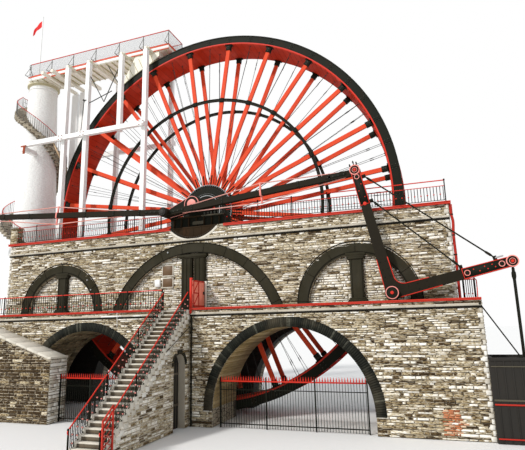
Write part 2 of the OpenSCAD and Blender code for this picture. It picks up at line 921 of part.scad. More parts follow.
module crank() {
  color(black)
    difference() {
      union() {
        wall_prism(crank_face, crank_back) {
          link2d([0, axle_z], [pin_x, pin_z], crank_boss_r, crank_eye_r);
          translate([0, axle_z])
            circle(r = crank_boss_r);
          translate([pin_x, pin_z])
            circle(r = crank_eye_r);
        }
        y_ring(pin_x, pin_z, crank_pin_d / 2, 0, rod_front - 60, crank_back - 60);
      }
      y_ring(0, axle_z, axle_r + e, 0, crank_face - 10, crank_back + 10);
    }
}

// A queen post and its two truss rods on a timber from a to b: the post stands
// q from a, and the rods reach the timber at its distances s0 and s1
module truss2d(a, b, q, s0, s1) {
  d = [b[0] - a[0], b[1] - a[1]];
  translate(a)
    rotate(atan2(d[1], d[0]))
      for (k = [-1, 1]) {
        bar2d([s0, k * rod_h * 0.48], [q, k * truss_h], truss_w);
        bar2d([q, k * truss_h], [s1, k * rod_h * 0.48], truss_w);
        translate([q - 35, k > 0 ? 0 : -truss_h - 20])
          square([70, truss_h + 20]);
      }
}

module main_rod() {
  len = (pin_x - rod_left_x) / cos(rod_rise);
  a = [pin_x, pin_z];
  b = [pin_x - len * cos(rod_rise), pin_z + len * sin(rod_rise)];
  color(black)
    difference() {
      wall_prism(rod_front, rod_back) {
        bar2d(a, b, rod_h);
        translate(a)
          circle(r = 260);
      }
      y_ring(pin_x, pin_z, crank_pin_d / 2 + 1, 0, rod_front - 10, rod_back + 10);
    }
  color(black)
    wall_prism((rod_front + rod_back) / 2 - truss_w / 2, (rod_front + rod_back) / 2 + truss_w / 2)
      truss2d(a, b, main_queen, main_queen - main_span[0], main_queen + main_span[1]);
}

module connecting_rod() {
  a = [pin_x, pin_z];
  b = [bell_top_x, bell_top_z];
  color(black)
    difference() {
      wall_prism(con_front, con_back) {
        bar2d(a, b, rod_h);
        translate(a)
          circle(r = 260);
        translate(b)
          circle(r = 230);
      }
      y_ring(pin_x, pin_z, crank_pin_d / 2 + 1, 0, con_front - 10, con_back + 10);
      y_ring(bell_top_x, bell_top_z, 80, 0, con_front - 10, con_back + 10);
    }
  color(black)
    wall_prism((con_front + con_back) / 2 - truss_w / 2, (con_front + con_back) / 2 + truss_w / 2)
      truss2d(a, b, con_queen, con_queen - con_span[0], con_queen + con_span[1]);
}

module bell_crank() {
  p = [bell_x, bell_z];
  t = [bell_top_x, bell_top_z];
  q = [bell_end_x, bell_end_z];
  y0 = bell_mid_y - bell_t / 2;
  y1 = bell_mid_y + bell_t / 2;
  color(black)
    union() {
      difference() {
        wall_prism(y0, y1) {
          link2d(p, t, bell_arm_r, bell_eye_r * 0.85);
          link2d(p, q, bell_arm_r, bell_eye_r * 0.85);
          translate(p)
            circle(r = bell_boss_r);
          translate(t)
            circle(r = bell_eye_r);
          translate(q)
            circle(r = bell_eye_r);
          translate(p)
            rotate(bell_lean)
              difference() {
                translate([bell_arm_r - 60, bell_arm_r - 60])
                  square(elbow_r);
                translate([bell_arm_r - 20 + elbow_r, bell_arm_r - 20 + elbow_r])
                  circle(r = elbow_r);
              }
        }
        wall_prism(bell_mid_y - fork_gap / 2, bell_mid_y + fork_gap / 2)
          translate(q)
            circle(r = bell_eye_r + 60);
      }
      y_ring(bell_x, bell_z, bell_pin_d / 2, 0, y0 - ped_t - 30, y1 + ped_t + 30);
      y_ring(bell_end_x, bell_end_z, hang_pin_r, 0, y0 - 20, y1 + 20);
      for (k = [0 : 1])
        for (s = [-1, 1])
          wall_prism(bell_mid_y + s * 41 - 15, bell_mid_y + s * 41 + 15) {
            bar2d(on_up(stay_up[k], 0), on_up(stay_up[k], stay_off + 70), 150);
            bar2d(on_out(stay_out[k], 0), on_out(stay_out[k], stay_off + 70), 150);
          }
      for (k = [0 : 1])
        for (c = [on_up(stay_up[k], stay_off), on_out(stay_out[k], stay_off)])
          y_ring(c[0], c[1], stay_pin_r, 0, bell_mid_y - 70, bell_mid_y + 70);
    }
}

function on_up(s, off) = [
  bell_x - s * sin(bell_lean) + off * cos(bell_lean),
  bell_z + s * cos(bell_lean) + off * sin(bell_lean)
];
function on_out(s, off) = [
  bell_x + s * cos(bell_lean) - off * sin(bell_lean),
  bell_z + s * sin(bell_lean) + off * cos(bell_lean)
];

module bell_stays() {
  color(black)
    for (k = [0 : 1]) {
      a = on_up(stay_up[k], stay_off);
      b = on_out(stay_out[k], stay_off);
      difference() {
        wall_prism(bell_mid_y - stay_t / 2, bell_mid_y + stay_t / 2) {
          bar2d(a, b, stay_w);
          translate(a)
            circle(r = stay_ear_r);
          translate(b)
            circle(r = stay_ear_r);
        }
        y_ring(a[0], a[1], stay_pin_r + e, 0, bell_mid_y - stay_t, bell_mid_y + stay_t);
        y_ring(b[0], b[1], stay_pin_r + e, 0, bell_mid_y - stay_t, bell_mid_y + stay_t);
      }
    }
}

module bell_pedestals() {
  color(black)
    for (s = [-1, 1]) {
      yc = bell_mid_y + s * (bell_t / 2 + 25 + ped_t / 2);
      difference() {
        wall_prism(yc - ped_t / 2, yc + ped_t / 2) {
          translate([bell_x - 450, terrace_z])
            square([900, 120]);
          translate([bell_x, bell_z])
            circle(r = 190);
          translate([bell_x - 190, terrace_z])
            square([380, bell_z - terrace_z]);
        }
        y_ring(bell_x, bell_z, bell_pin_d / 2 + 1, 0, yc - ped_t, yc + ped_t);
      }
    }
}

module hanging_rod() {
  color(black) {
    difference() {
      union() {
        y_ring(bell_end_x, bell_end_z, 170, 0, bell_mid_y - 40, bell_mid_y + 40);
        translate([bell_end_x, bell_mid_y, bell_end_z - hang_len])
          cylinder(r = hang_d / 2, h = hang_len - 290);
        box(bell_end_x - 40, bell_end_x + 40, bell_mid_y - 40, bell_mid_y + 40, bell_end_z - 400, bell_end_z - 100);
      }
      y_ring(bell_end_x, bell_end_z, hang_pin_r + 1, 0, bell_mid_y - 50, bell_mid_y + 50);
    }
  }
}

module balance_box() {
  color(black)
    difference() {
      box(box_x0, box_x1, bell_mid_y - box_half, bell_mid_y + box_half, 0, box_z1);
      box(box_x0 + box_t, box_x1 - box_t, bell_mid_y - box_half + box_t, bell_mid_y + box_half - box_t, box_t, box_z1 + 10);
    }
}

front_wall();
rear_wall();
left_end_wall();
right_end_wall();
right_plinth();
lower_tier();
lower_arch_rings();
upper_arch_rings();
upper_columns();
deck_edge();
terrace_edge();
string_courses();
deck_railing();
terrace_railing();
stair_steps();
stair_railings();
gate_post();
terrace_gate();
wing_wall();
pit_fence();
end_ladder();
tower_shaft();
tower_cap();
tower_stair();
tower_stair_railing();
flagpole();
trough();
trough_apron();
trough_railing();
trough_joists();
support_posts();
support_beams();
support_rods();
front_bearing();
rear_bearing();
wheel_front_shroud();
wheel_rear_shroud();
wheel_sole();
wheel_buckets();
front_spokes();
rear_spokes();
front_mid_ring();
rear_mid_ring();
front_hub();
rear_hub();
wheel_tie_rods();
axle();
crank();
main_rod();
connecting_rod();
bell_crank();
bell_stays();
bell_pedestals();
hanging_rod();
balance_box();
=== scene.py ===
"""Looks of a large water wheel in its two-tier masonry house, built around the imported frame."""

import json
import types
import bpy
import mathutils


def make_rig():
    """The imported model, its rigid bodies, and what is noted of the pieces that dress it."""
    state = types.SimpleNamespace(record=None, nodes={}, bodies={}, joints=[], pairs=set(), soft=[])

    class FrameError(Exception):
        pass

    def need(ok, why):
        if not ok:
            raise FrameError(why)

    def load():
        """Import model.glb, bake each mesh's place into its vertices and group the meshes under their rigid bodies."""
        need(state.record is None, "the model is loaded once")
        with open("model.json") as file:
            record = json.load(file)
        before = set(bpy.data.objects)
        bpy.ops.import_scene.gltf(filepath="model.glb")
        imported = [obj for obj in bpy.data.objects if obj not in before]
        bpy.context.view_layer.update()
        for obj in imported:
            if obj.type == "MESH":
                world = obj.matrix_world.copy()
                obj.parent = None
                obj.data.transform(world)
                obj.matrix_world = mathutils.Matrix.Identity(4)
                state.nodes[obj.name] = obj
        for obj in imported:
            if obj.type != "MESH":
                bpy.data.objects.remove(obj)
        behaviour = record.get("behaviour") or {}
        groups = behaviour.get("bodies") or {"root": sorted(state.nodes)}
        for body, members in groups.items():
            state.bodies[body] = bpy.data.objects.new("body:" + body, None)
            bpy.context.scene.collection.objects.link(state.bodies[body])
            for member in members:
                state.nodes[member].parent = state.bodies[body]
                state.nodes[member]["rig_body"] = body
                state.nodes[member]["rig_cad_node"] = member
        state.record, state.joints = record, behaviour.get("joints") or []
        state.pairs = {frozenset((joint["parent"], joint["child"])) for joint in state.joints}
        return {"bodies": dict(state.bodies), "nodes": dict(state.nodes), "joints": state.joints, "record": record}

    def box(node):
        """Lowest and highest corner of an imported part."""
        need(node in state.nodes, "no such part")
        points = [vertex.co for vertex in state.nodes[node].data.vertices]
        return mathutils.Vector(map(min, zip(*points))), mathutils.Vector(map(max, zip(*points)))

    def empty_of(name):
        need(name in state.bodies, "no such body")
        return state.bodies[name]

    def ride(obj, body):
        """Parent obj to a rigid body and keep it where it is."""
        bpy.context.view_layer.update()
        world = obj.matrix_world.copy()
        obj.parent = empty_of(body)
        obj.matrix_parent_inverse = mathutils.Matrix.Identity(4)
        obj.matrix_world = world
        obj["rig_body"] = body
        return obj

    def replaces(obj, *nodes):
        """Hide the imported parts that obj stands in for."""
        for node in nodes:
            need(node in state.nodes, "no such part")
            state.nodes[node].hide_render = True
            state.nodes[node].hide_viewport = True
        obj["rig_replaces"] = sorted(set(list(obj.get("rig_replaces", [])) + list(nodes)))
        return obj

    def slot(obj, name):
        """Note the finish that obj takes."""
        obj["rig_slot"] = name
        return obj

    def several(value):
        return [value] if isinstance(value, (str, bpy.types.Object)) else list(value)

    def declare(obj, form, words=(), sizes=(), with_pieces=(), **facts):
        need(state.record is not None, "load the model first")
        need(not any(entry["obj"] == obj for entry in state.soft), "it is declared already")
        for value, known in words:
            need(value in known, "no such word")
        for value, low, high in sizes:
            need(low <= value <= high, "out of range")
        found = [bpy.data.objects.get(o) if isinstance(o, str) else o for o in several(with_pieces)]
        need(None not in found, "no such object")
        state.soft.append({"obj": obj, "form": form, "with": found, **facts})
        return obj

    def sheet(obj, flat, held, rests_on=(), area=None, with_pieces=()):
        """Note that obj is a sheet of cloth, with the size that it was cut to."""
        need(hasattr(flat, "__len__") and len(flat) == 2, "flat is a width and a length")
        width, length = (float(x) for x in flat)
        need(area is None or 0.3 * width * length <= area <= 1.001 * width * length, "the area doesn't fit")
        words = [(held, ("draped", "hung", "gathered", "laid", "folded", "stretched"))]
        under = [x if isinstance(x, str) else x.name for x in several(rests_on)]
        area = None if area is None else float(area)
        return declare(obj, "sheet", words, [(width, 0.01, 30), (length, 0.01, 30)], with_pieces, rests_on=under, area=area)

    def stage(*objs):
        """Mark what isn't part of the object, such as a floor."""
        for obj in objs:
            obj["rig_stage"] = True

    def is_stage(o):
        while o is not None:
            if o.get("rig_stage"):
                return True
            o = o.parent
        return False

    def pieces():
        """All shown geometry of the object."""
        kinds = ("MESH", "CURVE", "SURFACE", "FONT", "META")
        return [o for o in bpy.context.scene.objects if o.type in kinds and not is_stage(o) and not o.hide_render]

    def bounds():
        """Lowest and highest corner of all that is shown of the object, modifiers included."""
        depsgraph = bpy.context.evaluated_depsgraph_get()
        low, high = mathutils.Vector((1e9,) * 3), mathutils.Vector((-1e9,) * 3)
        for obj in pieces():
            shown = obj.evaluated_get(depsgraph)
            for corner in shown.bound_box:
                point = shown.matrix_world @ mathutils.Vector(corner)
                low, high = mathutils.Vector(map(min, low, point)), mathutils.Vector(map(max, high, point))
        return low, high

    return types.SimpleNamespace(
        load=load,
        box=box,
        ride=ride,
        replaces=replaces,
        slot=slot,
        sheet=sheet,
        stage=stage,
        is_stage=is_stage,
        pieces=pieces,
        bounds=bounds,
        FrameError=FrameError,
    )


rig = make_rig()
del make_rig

bl_info = {
    "name": "Water Wheel Dressing",
    "version": (1, 0, 0),
    "blender": (4, 5, 0),
    "location": "View3D > Sidebar > Water Wheel",
    "description": "Masonry, ironwork, timber and paint of a water wheel and its house",
    "category": "Object",
}

import json
import math
import sys

import bpy
import numpy as np
from mathutils import Matrix, Vector

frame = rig.load()
CAD_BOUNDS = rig.bounds()


def box_of(node):
    """Lowest and highest corner of a CAD node as two arrays."""
    low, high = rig.box(node)
    return np.array(low), np.array(high)


def half_width(node):
    """Half the width of a CAD node along X: the radius of a round one."""
    low, high = box_of(node)
    return (high[0] - low[0]) / 2


def middle_y(node):
    """The depth halfway through a CAD node."""
    low, high = box_of(node)
    return (low[1] + high[1]) / 2


# Places read from the frame, in metres
SHROUD_LOW, SHROUD_HIGH = box_of("wheel_front_shroud")
REAR_SHROUD_LOW, REAR_SHROUD_HIGH = box_of("wheel_rear_shroud")
WHEEL_R = half_width("wheel_front_shroud")
AXLE_Z = (SHROUD_HIGH[2] + SHROUD_LOW[2]) / 2
WHEEL_FRONT = SHROUD_LOW[1]
WHEEL_BACK = REAR_SHROUD_HIGH[1]
SOLE_R = half_width("wheel_sole")
RING_MEAN_R = half_width("front_mid_ring") - 0.075
HUB_R = half_width("front_hub")
HUB_FRONT = box_of("front_hub")[0][1]
BOSS_R = 0.9
SPOKE_Y = box_of("front_spokes")[0][1]
SPOKE_BACK_Y = box_of("rear_spokes")[1][1]
SPOKE_W = 0.23
SPOKE_T = 0.13
SPOKES = 24
BOARDS_ROUND = 168
SPOKE_PHASE = math.radians(6.84)
WALL_LOW, WALL_HIGH = box_of("front_wall")
REAR_LOW, REAR_HIGH = box_of("rear_wall")
TIER_LOW, TIER_HIGH = box_of("lower_tier")
WALL_Y, TIER_Y = WALL_LOW[1], TIER_LOW[1]
LEFT_LOW = box_of("left_end_wall")[0]
FLOOR_Z = box_of("terrace_edge")[1][2]
DECK_Z = WALL_HIGH[2]
STAIR_LOW, STAIR_HIGH = box_of("stair_steps")
ARCH_X, ARCH_Z, ARCH_R = 5.6, 0.74, 3.78
RING_W = 0.44
UPPER_RING_W = 0.54
BLIND_X, BLIND_R, MID_BLIND_R, MID_BLIND_Z = 8.7, 2.40, 4.8, 3.72
BLIND_D = 0.22
TERRACE_Z = 5.42
BLIND_ARCHES = ((-BLIND_X, TERRACE_Z, BLIND_R), (BLIND_X, TERRACE_Z, BLIND_R),
                (0.0, MID_BLIND_Z, MID_BLIND_R))
SMALL_ARCH_Y, SMALL_ARCH_Z, SMALL_ARCH_R = TIER_Y - 0.95, 2.85, 0.53
WING_END_X, WING_TOE_X, WING_PIER_X, WING_PIER_Z = -13.6, -6.85, -6.7, 3.15
WING_RUN, WING_DROP = 6.75, 2.24
# The last height pair on each of these two lines is the dark strip under its string course: painted shadow
UPPER_STRING, UPPER_SLAB, UPPER_DRIP = (9.135, 9.305), (9.20, 9.285), (9.12, 9.198)
LOWER_STRING, LOWER_SLAB, LOWER_DRIP = (5.12, 5.28), (5.19, 5.27), (5.115, 5.188)
STONES_TOP_Z = 9.82
POCKET_R = 1.92
TREAD_RUN, STAIR_N = 0.235, 28
RISER = STAIR_HIGH[2] / STAIR_N
PIN = np.array([-1.4115, 10.755])
BELL_LEAN = math.radians(12.6)
BELL = np.array([10.36, 5.875])
BELL_UP, BELL_OUT = 6.015, 5.035
UP_WAY = np.array([-math.sin(BELL_LEAN), math.cos(BELL_LEAN)])
OUT_WAY = np.array([math.cos(BELL_LEAN), math.sin(BELL_LEAN)])
BELL_TOP = BELL + BELL_UP * UP_WAY
BELL_END = BELL + BELL_OUT * OUT_WAY
BELL_Y = middle_y("bell_stays")
ROD_Y = middle_y("main_rod")
CON_Y = middle_y("connecting_rod")
TOWER = np.array([-14.13, 2.25])
TOWER_R0, TOWER_R1 = 1.9, 0.95
TOWER_H = box_of("tower_shaft")[1][2]
CAP_LOW, CAP_HIGH = box_of("tower_cap")
TROUGH_LOW, TROUGH_HIGH = box_of("trough")
TROUGH_Y0, TROUGH_Y1, TROUGH_Z0 = TROUGH_LOW[1], TROUGH_HIGH[1], TROUGH_LOW[2]
POST_X = (-4.04, -8.5, -10.25)
MID_POST_X, FAR_POST_X = -5.9, -11.6
POST_HALF = 0.14
POST_Y = (0.45, 3.68)
BEAM_LOW, BEAM_HIGH = box_of("support_beams")
PIT_BOX_LOW, PIT_BOX_HIGH = box_of("balance_box")
X_AXIS, Y_AXIS, Z_AXIS = np.eye(3)
FRONT_FACE, REAR_FACE = (X_AXIS, Z_AXIS, -Y_AXIS), (X_AXIS, Z_AXIS, Y_AXIS)
LEFT_FACE, RIGHT_FACE = (Y_AXIS, Z_AXIS, -X_AXIS), (Y_AXIS, Z_AXIS, X_AXIS)


# Settings
class MasonrySettings(bpy.types.PropertyGroup):
    course: bpy.props.FloatProperty(
        name="Course height", description="Mean height of a course of rubble",
        default=0.12, min=0.06, max=0.4, unit="LENGTH")
    stone_length: bpy.props.FloatProperty(
        name="Stone length", description="Mean length of a stone",
        default=0.46, min=0.1, max=1.2, unit="LENGTH")
    joint: bpy.props.FloatProperty(
        name="Joint", description="Width of a mortar joint",
        default=0.030, min=0.004, max=0.05, unit="LENGTH")
    relief: bpy.props.FloatProperty(
        name="Relief", description="How far a stone stands out of its joints",
        default=0.026, min=0.005, max=0.05, unit="LENGTH")
    stone_colour: bpy.props.FloatVectorProperty(
        name="Stone", description="Mean colour of the rubble",
        subtype="COLOR", size=3, default=(0.40, 0.34, 0.24))
    joint_colour: bpy.props.FloatVectorProperty(
        name="Joints", description="Colour of the mortar and the shade in the joints",
        subtype="COLOR", size=3, default=(0.040, 0.028, 0.015))


class PaintSettings(bpy.types.PropertyGroup):
    spoke_colour: bpy.props.FloatVectorProperty(
        name="Spokes", description="Orange-red of the spokes",
        subtype="COLOR", size=3, default=(0.67, 0.066, 0.022))
    band_colour: bpy.props.FloatVectorProperty(
        name="Bands", description="Red of bands, rails and edges",
        subtype="COLOR", size=3, default=(0.50, 0.030, 0.014))
    sole_colour: bpy.props.FloatVectorProperty(
        name="Sole", description="Maroon of the wheel's sole",
        subtype="COLOR", size=3, default=(0.50, 0.028, 0.006))
    iron_colour: bpy.props.FloatVectorProperty(
        name="Iron", description="Near-black of the rims and rods",
        subtype="COLOR", size=3, default=(0.009, 0.010, 0.006))
    white_colour: bpy.props.FloatVectorProperty(
        name="White", description="White of the tower and the posts",
        subtype="COLOR", size=3, default=(0.86, 0.86, 0.84))
    cream_colour: bpy.props.FloatVectorProperty(
        name="Cream", description="Cream of the trough's underside",
        subtype="COLOR", size=3, default=(0.84, 0.80, 0.68))


class StageSettings(bpy.types.PropertyGroup):
    sun: bpy.props.FloatProperty(
        name="Key light", description="Strength of the key light",
        default=2.6, min=0.0, max=10.0)
    sky: bpy.props.FloatProperty(
        name="Fill light", description="Strength of the even fill light",
        default=0.75, min=0.0, max=3.0)


# Mesh tools
def write_mesh(name, parts, shade=None):
    """One mesh from (vertices, [face arrays]) parts; shade is a value per vertex kept as an attribute."""
    verts, faces, base = [], [], 0
    for v, face_sets in parts:
        verts.append(np.asarray(v, float).reshape(-1, 3))
        faces += [np.asarray(f, int) + base for f in face_sets if len(f)]
        base += len(verts[-1])
    co = np.concatenate(verts)
    loops = np.concatenate([f.ravel() for f in faces])
    sizes = np.concatenate([np.full(len(f), f.shape[1]) for f in faces])
    mesh = bpy.data.meshes.new(name)
    mesh.vertices.add(len(co))
    mesh.vertices.foreach_set("co", co.ravel())
    mesh.loops.add(len(loops))
    mesh.loops.foreach_set("vertex_index", loops)
    mesh.polygons.add(len(sizes))
    mesh.polygons.foreach_set("loop_start", np.concatenate([[0], np.cumsum(sizes)[:-1]]))
    mesh.update(calc_edges=True)
    if shade is not None:
        layer = mesh.attributes.new("shade", "FLOAT", "POINT")
        layer.data.foreach_set("value", np.asarray(shade, np.float32))
    return mesh


def add_piece(name, parts, finish, body="structure", slot=None, smooth=0.0, shade=None, bevel=0.0,
              replaces=()):
    """Links a piece made of parts, with its finish, its body and its slot: the finish's own slot when none is
    given. smooth is the angle in degrees under which an edge is shaded round; 0 leaves the faces flat."""
    mesh = write_mesh(name, [outward(part) for part in parts], shade)
    mesh.validate()
    piece = bpy.data.objects.new(name, mesh)
    bpy.context.scene.collection.objects.link(piece)
    mesh.materials.append(FINISHES[finish])
    if smooth:
        mesh.shade_smooth()
        mesh.set_sharp_from_angle(angle=math.radians(smooth))
    if bevel:
        chamfer = piece.modifiers.new("chamfer", "BEVEL")
        chamfer.width, chamfer.segments, chamfer.limit_method = bevel, 1, "ANGLE"
    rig.ride(piece, body)
    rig.slot(piece, slot or FINISH_SLOT[finish])
    if replaces:
        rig.replaces(piece, *replaces)
    return piece


def rows_of(v):
    """One point or many as rows of numbers."""
    return np.atleast_2d(np.asarray(v, float))


def rows_at(*columns):
    """Rows put together from columns; a single number fills its whole column."""
    return np.stack(np.broadcast_arrays(*columns), axis=-1).astype(float)


BOX_SIGNS = np.array([[i, j, k] for k in (-1, 1) for j in (-1, 1) for i in (-1, 1)], float)
BOX_QUADS = np.array([[0, 2, 3, 1], [4, 5, 7, 6], [0, 1, 5, 4], [2, 6, 7, 3], [0, 4, 6, 2], [1, 3, 7, 5]])


def box_faces(count):
    """The six faces of each of so many boxes of eight points."""
    return (BOX_QUADS[None] + 8 * np.arange(count)[:, None, None]).reshape(-1, 4)


def blocks(centre, half_u, half_v, half_w):
    """Boxes: corner = centre + (sign u) half_u + (sign v) half_v + (sign w) half_w, with u x v along w."""
    centre, half_u, half_v, half_w = np.broadcast_arrays(*map(rows_of, (centre, half_u, half_v, half_w)))
    corner = (centre[:, None] + BOX_SIGNS[None, :, :1] * half_u[:, None]
              + BOX_SIGNS[None, :, 1:2] * half_v[:, None] + BOX_SIGNS[None, :, 2:] * half_w[:, None])
    return corner.reshape(-1, 3), [box_faces(len(centre))]


def boxes(low, high):
    """Upright boxes between rows of lowest and highest corners."""
    low, high = np.broadcast_arrays(rows_of(low), rows_of(high))
    half = (high - low) / 2
    zero = np.zeros(len(half))
    return blocks((low + high) / 2, np.c_[half[:, 0], zero, zero],
                  np.c_[zero, half[:, 1], zero], np.c_[zero, zero, half[:, 2]])


def unit(v):
    """Rows scaled to length one."""
    v = rows_of(v)
    return v / np.linalg.norm(v, axis=1, keepdims=True)


def side_frames(direction, hint=None):
    """Two unit rows square to each direction row: side is hint x direction, and over is direction x side."""
    direction = unit(direction)
    if hint is None:
        hint = np.where(np.abs(direction[:, 2:]) > 0.9, X_AXIS[None], Z_AXIS[None])
    side = unit(np.cross(np.broadcast_to(hint, direction.shape), direction))
    return side, np.cross(direction, side)


def bars(a, b, width, depth, hint=None):
    """Square bars from rows a to rows b: width across the hint's side, depth along the other way."""
    a, b = np.broadcast_arrays(rows_of(a), rows_of(b))
    side, over = side_frames(b - a, hint)
    width = np.broadcast_to(np.asarray(width, float), len(a))[:, None]
    depth = np.broadcast_to(np.asarray(depth, float), len(a))[:, None]
    return blocks((a + b) / 2, side * width / 2, over * depth / 2, (b - a) / 2)


def lathes(centre, axis, profile, sides=12, hint=None):
    """Turned shapes: each profile row (radius, height) is swept round the axis row through its centre row;
    point = centre + height axis + radius (cos t side + sin t over). Both ends are closed by one face."""
    centre = rows_of(centre)
    axis = unit(axis)
    centre, axis = np.broadcast_arrays(centre, axis)
    side, over = side_frames(axis, hint)
    profile = np.asarray(profile, float)
    if profile.ndim == 2:
        profile = np.broadcast_to(profile, (len(centre),) + profile.shape)
    t = np.arange(sides) * 2 * math.pi / sides
    wheel = np.cos(t)[None, :, None] * side[:, None] + np.sin(t)[None, :, None] * over[:, None]
    ring = (centre[:, None, None] + profile[:, :, None, 1:] * axis[:, None, None]
            + profile[:, :, None, :1] * wheel[:, None])
    count, rows = len(centre), profile.shape[1]
    index = np.arange(count * rows * sides).reshape(count, rows, sides)
    turn = np.roll(index, -1, axis=2)
    wall = np.stack([index[:, :-1], turn[:, :-1], turn[:, 1:], index[:, 1:]], axis=-1).reshape(-1, 4)
    caps = np.concatenate([index[:, 0, ::-1], index[:, -1]])
    return ring.reshape(-1, 3), [wall, caps]


def rods(a, b, radius, sides=8):
    """Round rods from rows a to rows b."""
    a, b = np.broadcast_arrays(rows_of(a), rows_of(b))
    length = np.linalg.norm(b - a, axis=1)
    radius = np.broadcast_to(np.asarray(radius, float), len(a))
    profile = np.stack([np.c_[radius, 0 * length], np.c_[radius, length]], axis=1)
    return lathes(a, b - a, profile, sides)


def studs(centre, normal, radius=0.02, height=0.014, sides=8):
    """Round rivet heads standing on a surface."""
    profile = [[radius, -0.002], [radius, 0.3 * height], [0.72 * radius, 0.8 * height],
               [0.3 * radius, height]]
    return lathes(centre, normal, profile, sides)


def nuts(centre, normal, radius=0.03, height=0.03):
    """Six-sided nuts with a short bolt end."""
    profile = [[radius, -0.002], [radius, height], [0.45 * radius, height], [0.45 * radius, 1.6 * height]]
    return lathes(centre, normal, profile, 6)


def carried(path, section, side, over, closed=False):
    """A closed section (p, q) carried along a path: point = path + p side + q over, ends capped."""
    path, section = np.asarray(path, float), np.asarray(section, float)
    side = np.broadcast_to(np.asarray(side, float), path.shape)
    over = np.broadcast_to(np.asarray(over, float), path.shape)
    co = path[:, None] + section[None, :, :1] * side[:, None] + section[None, :, 1:] * over[:, None]
    rows, cols = len(path), len(section)
    index = np.arange(rows * cols).reshape(rows, cols)
    last = np.vstack([index[1:], index[:1]]) if closed else index[1:]
    first = index if closed else index[:-1]
    wall = np.stack([first, np.roll(first, -1, 1), np.roll(last, -1, 1), last], axis=-1).reshape(-1, 4)
    faces = [wall]
    if not closed:
        faces.append(np.stack([index[0, ::-1], index[-1]]))
    return co.reshape(-1, 3), faces


def circle_section(radius, sides=8):
    """Points round a circle, as the section of a rail."""
    t = np.arange(sides) * 2 * math.pi / sides
    return np.c_[np.cos(t), np.sin(t)] * radius


def rim_frame(angles):
    """For each angle: the way out from the axle and the way round it."""
    return rows_at(np.cos(angles), 0, np.sin(angles)), rows_at(-np.sin(angles), 0, np.cos(angles))


def flat_ring(cx, cz, r_in, r_out, y0, y1, angles, closed=False):
    """A flat band between two radii and two planes, carried round a centre through the angles."""
    out = rim_frame(angles)[0]
    section = [[r_in, y0], [r_in, y1], [r_out, y1], [r_out, y0]]
    return carried(np.array([cx, 0, cz]) + 0 * out, section, out, Y_AXIS, closed)


def hoop(cx, cz, r_in, r_out, y0, y1, count=192):
    """A full flat ring about the Y direction, between two radii and two planes."""
    return flat_ring(cx, cz, r_in, r_out, y0, y1, np.arange(count) * 2 * math.pi / count, True)


def arc_band(cx, cz, r_in, r_out, y0, y1, a0, a1, count=48):
    """Part of a flat ring between two angles."""
    return flat_ring(cx, cz, r_in, r_out, y0, y1, np.linspace(a0, a1, count))


def smooth_path(points, count):
    """Evenly spread points on a curve through the given ones (cubic Hermite between neighbours)."""
    p = np.asarray(points, float)
    tangent = np.gradient(p, axis=0)
    t = np.linspace(0, len(p) - 1, count)
    k = np.clip(t.astype(int), 0, len(p) - 2)
    u = (t - k)[:, None]
    h00, h10 = 2 * u**3 - 3 * u**2 + 1, u**3 - 2 * u**2 + u
    h01, h11 = -2 * u**3 + 3 * u**2, u**3 - u**2
    return h00 * p[k] + h10 * tangent[k] + h01 * p[k + 1] + h11 * tangent[k + 1]


def tube(points, radius, sides=8):
    """A round rail along a path, its section turned with the path."""
    p = np.asarray(points, float)
    run = unit(np.gradient(p, axis=0))
    hint = Y_AXIS if np.abs(run[:, 1]).max() < 0.7 else np.array([0.31, 0.22, 0.92])
    side = unit(np.cross(np.broadcast_to(hint, run.shape), run))
    return carried(p, circle_section(radius, sides), side, np.cross(run, side))


# Finishes
FINISHES = {}


def join(tree, node, links):
    """Gives a node's inputs their values: a socket is linked, a number or a colour is set."""
    for key, value in links.items():
        if isinstance(value, bpy.types.NodeSocket):
            tree.links.new(value, node.inputs[key])
        else:
            node.inputs[key].default_value = value


def place(tree, kind, links=None, **settings):
    """Adds a shader node with its settings and its inputs."""
    made = tree.nodes.new(kind)
    for key, value in settings.items():
        setattr(made, key, value)
    join(tree, made, links or {})
    return made


def maths(tree, operation, *values, **settings):
    """The result of one Math node on sockets or numbers."""
    return place(tree, "ShaderNodeMath", dict(enumerate(values)), operation=operation,
                 **settings).outputs[0]


def rgba(colour):
    """A colour of three numbers, opaque."""
    return (*tuple(colour)[:3], 1.0)


def blend_colours(tree, factor, a, b):
    """Colour a turned to b by factor."""
    return place(tree, "ShaderNodeMix", {0: factor, 6: a, 7: b}, data_type="RGBA").outputs[2]


def rescaled(tree, value, a, b, c=0.0, d=1.0):
    """The value's range a to b drawn out to c to d and held there."""
    return place(tree, "ShaderNodeMapRange", {0: value, 1: a, 2: b, 3: c, 4: d}).outputs[0]


def object_places(tree, stretch):
    """Object coordinates drawn out along the axes."""
    where = place(tree, "ShaderNodeTexCoord").outputs["Object"]
    return place(tree, "ShaderNodeMapping", {"Vector": where, "Scale": stretch}).outputs[0]


def stretched_noise(tree, scale, detail=4.0, stretch=(1.0, 1.0, 1.0), roughness=0.6):
    """Noise over Object coordinates, drawn out along the axes."""
    return place(tree, "ShaderNodeTexNoise", {"Vector": object_places(tree, stretch), "Scale": scale,
                                              "Detail": detail, "Roughness": roughness}).outputs[0]


def bumped(tree, height, distance, strength=1.0):
    """The normal of a surface raised by a height."""
    return place(tree, "ShaderNodeBump", {"Height": height, "Distance": distance,
                                          "Strength": strength}).outputs[0]


SOCKET_KINDS = {4: "NodeSocketColor", 3: "NodeSocketVector", 1: "NodeSocketFloat"}


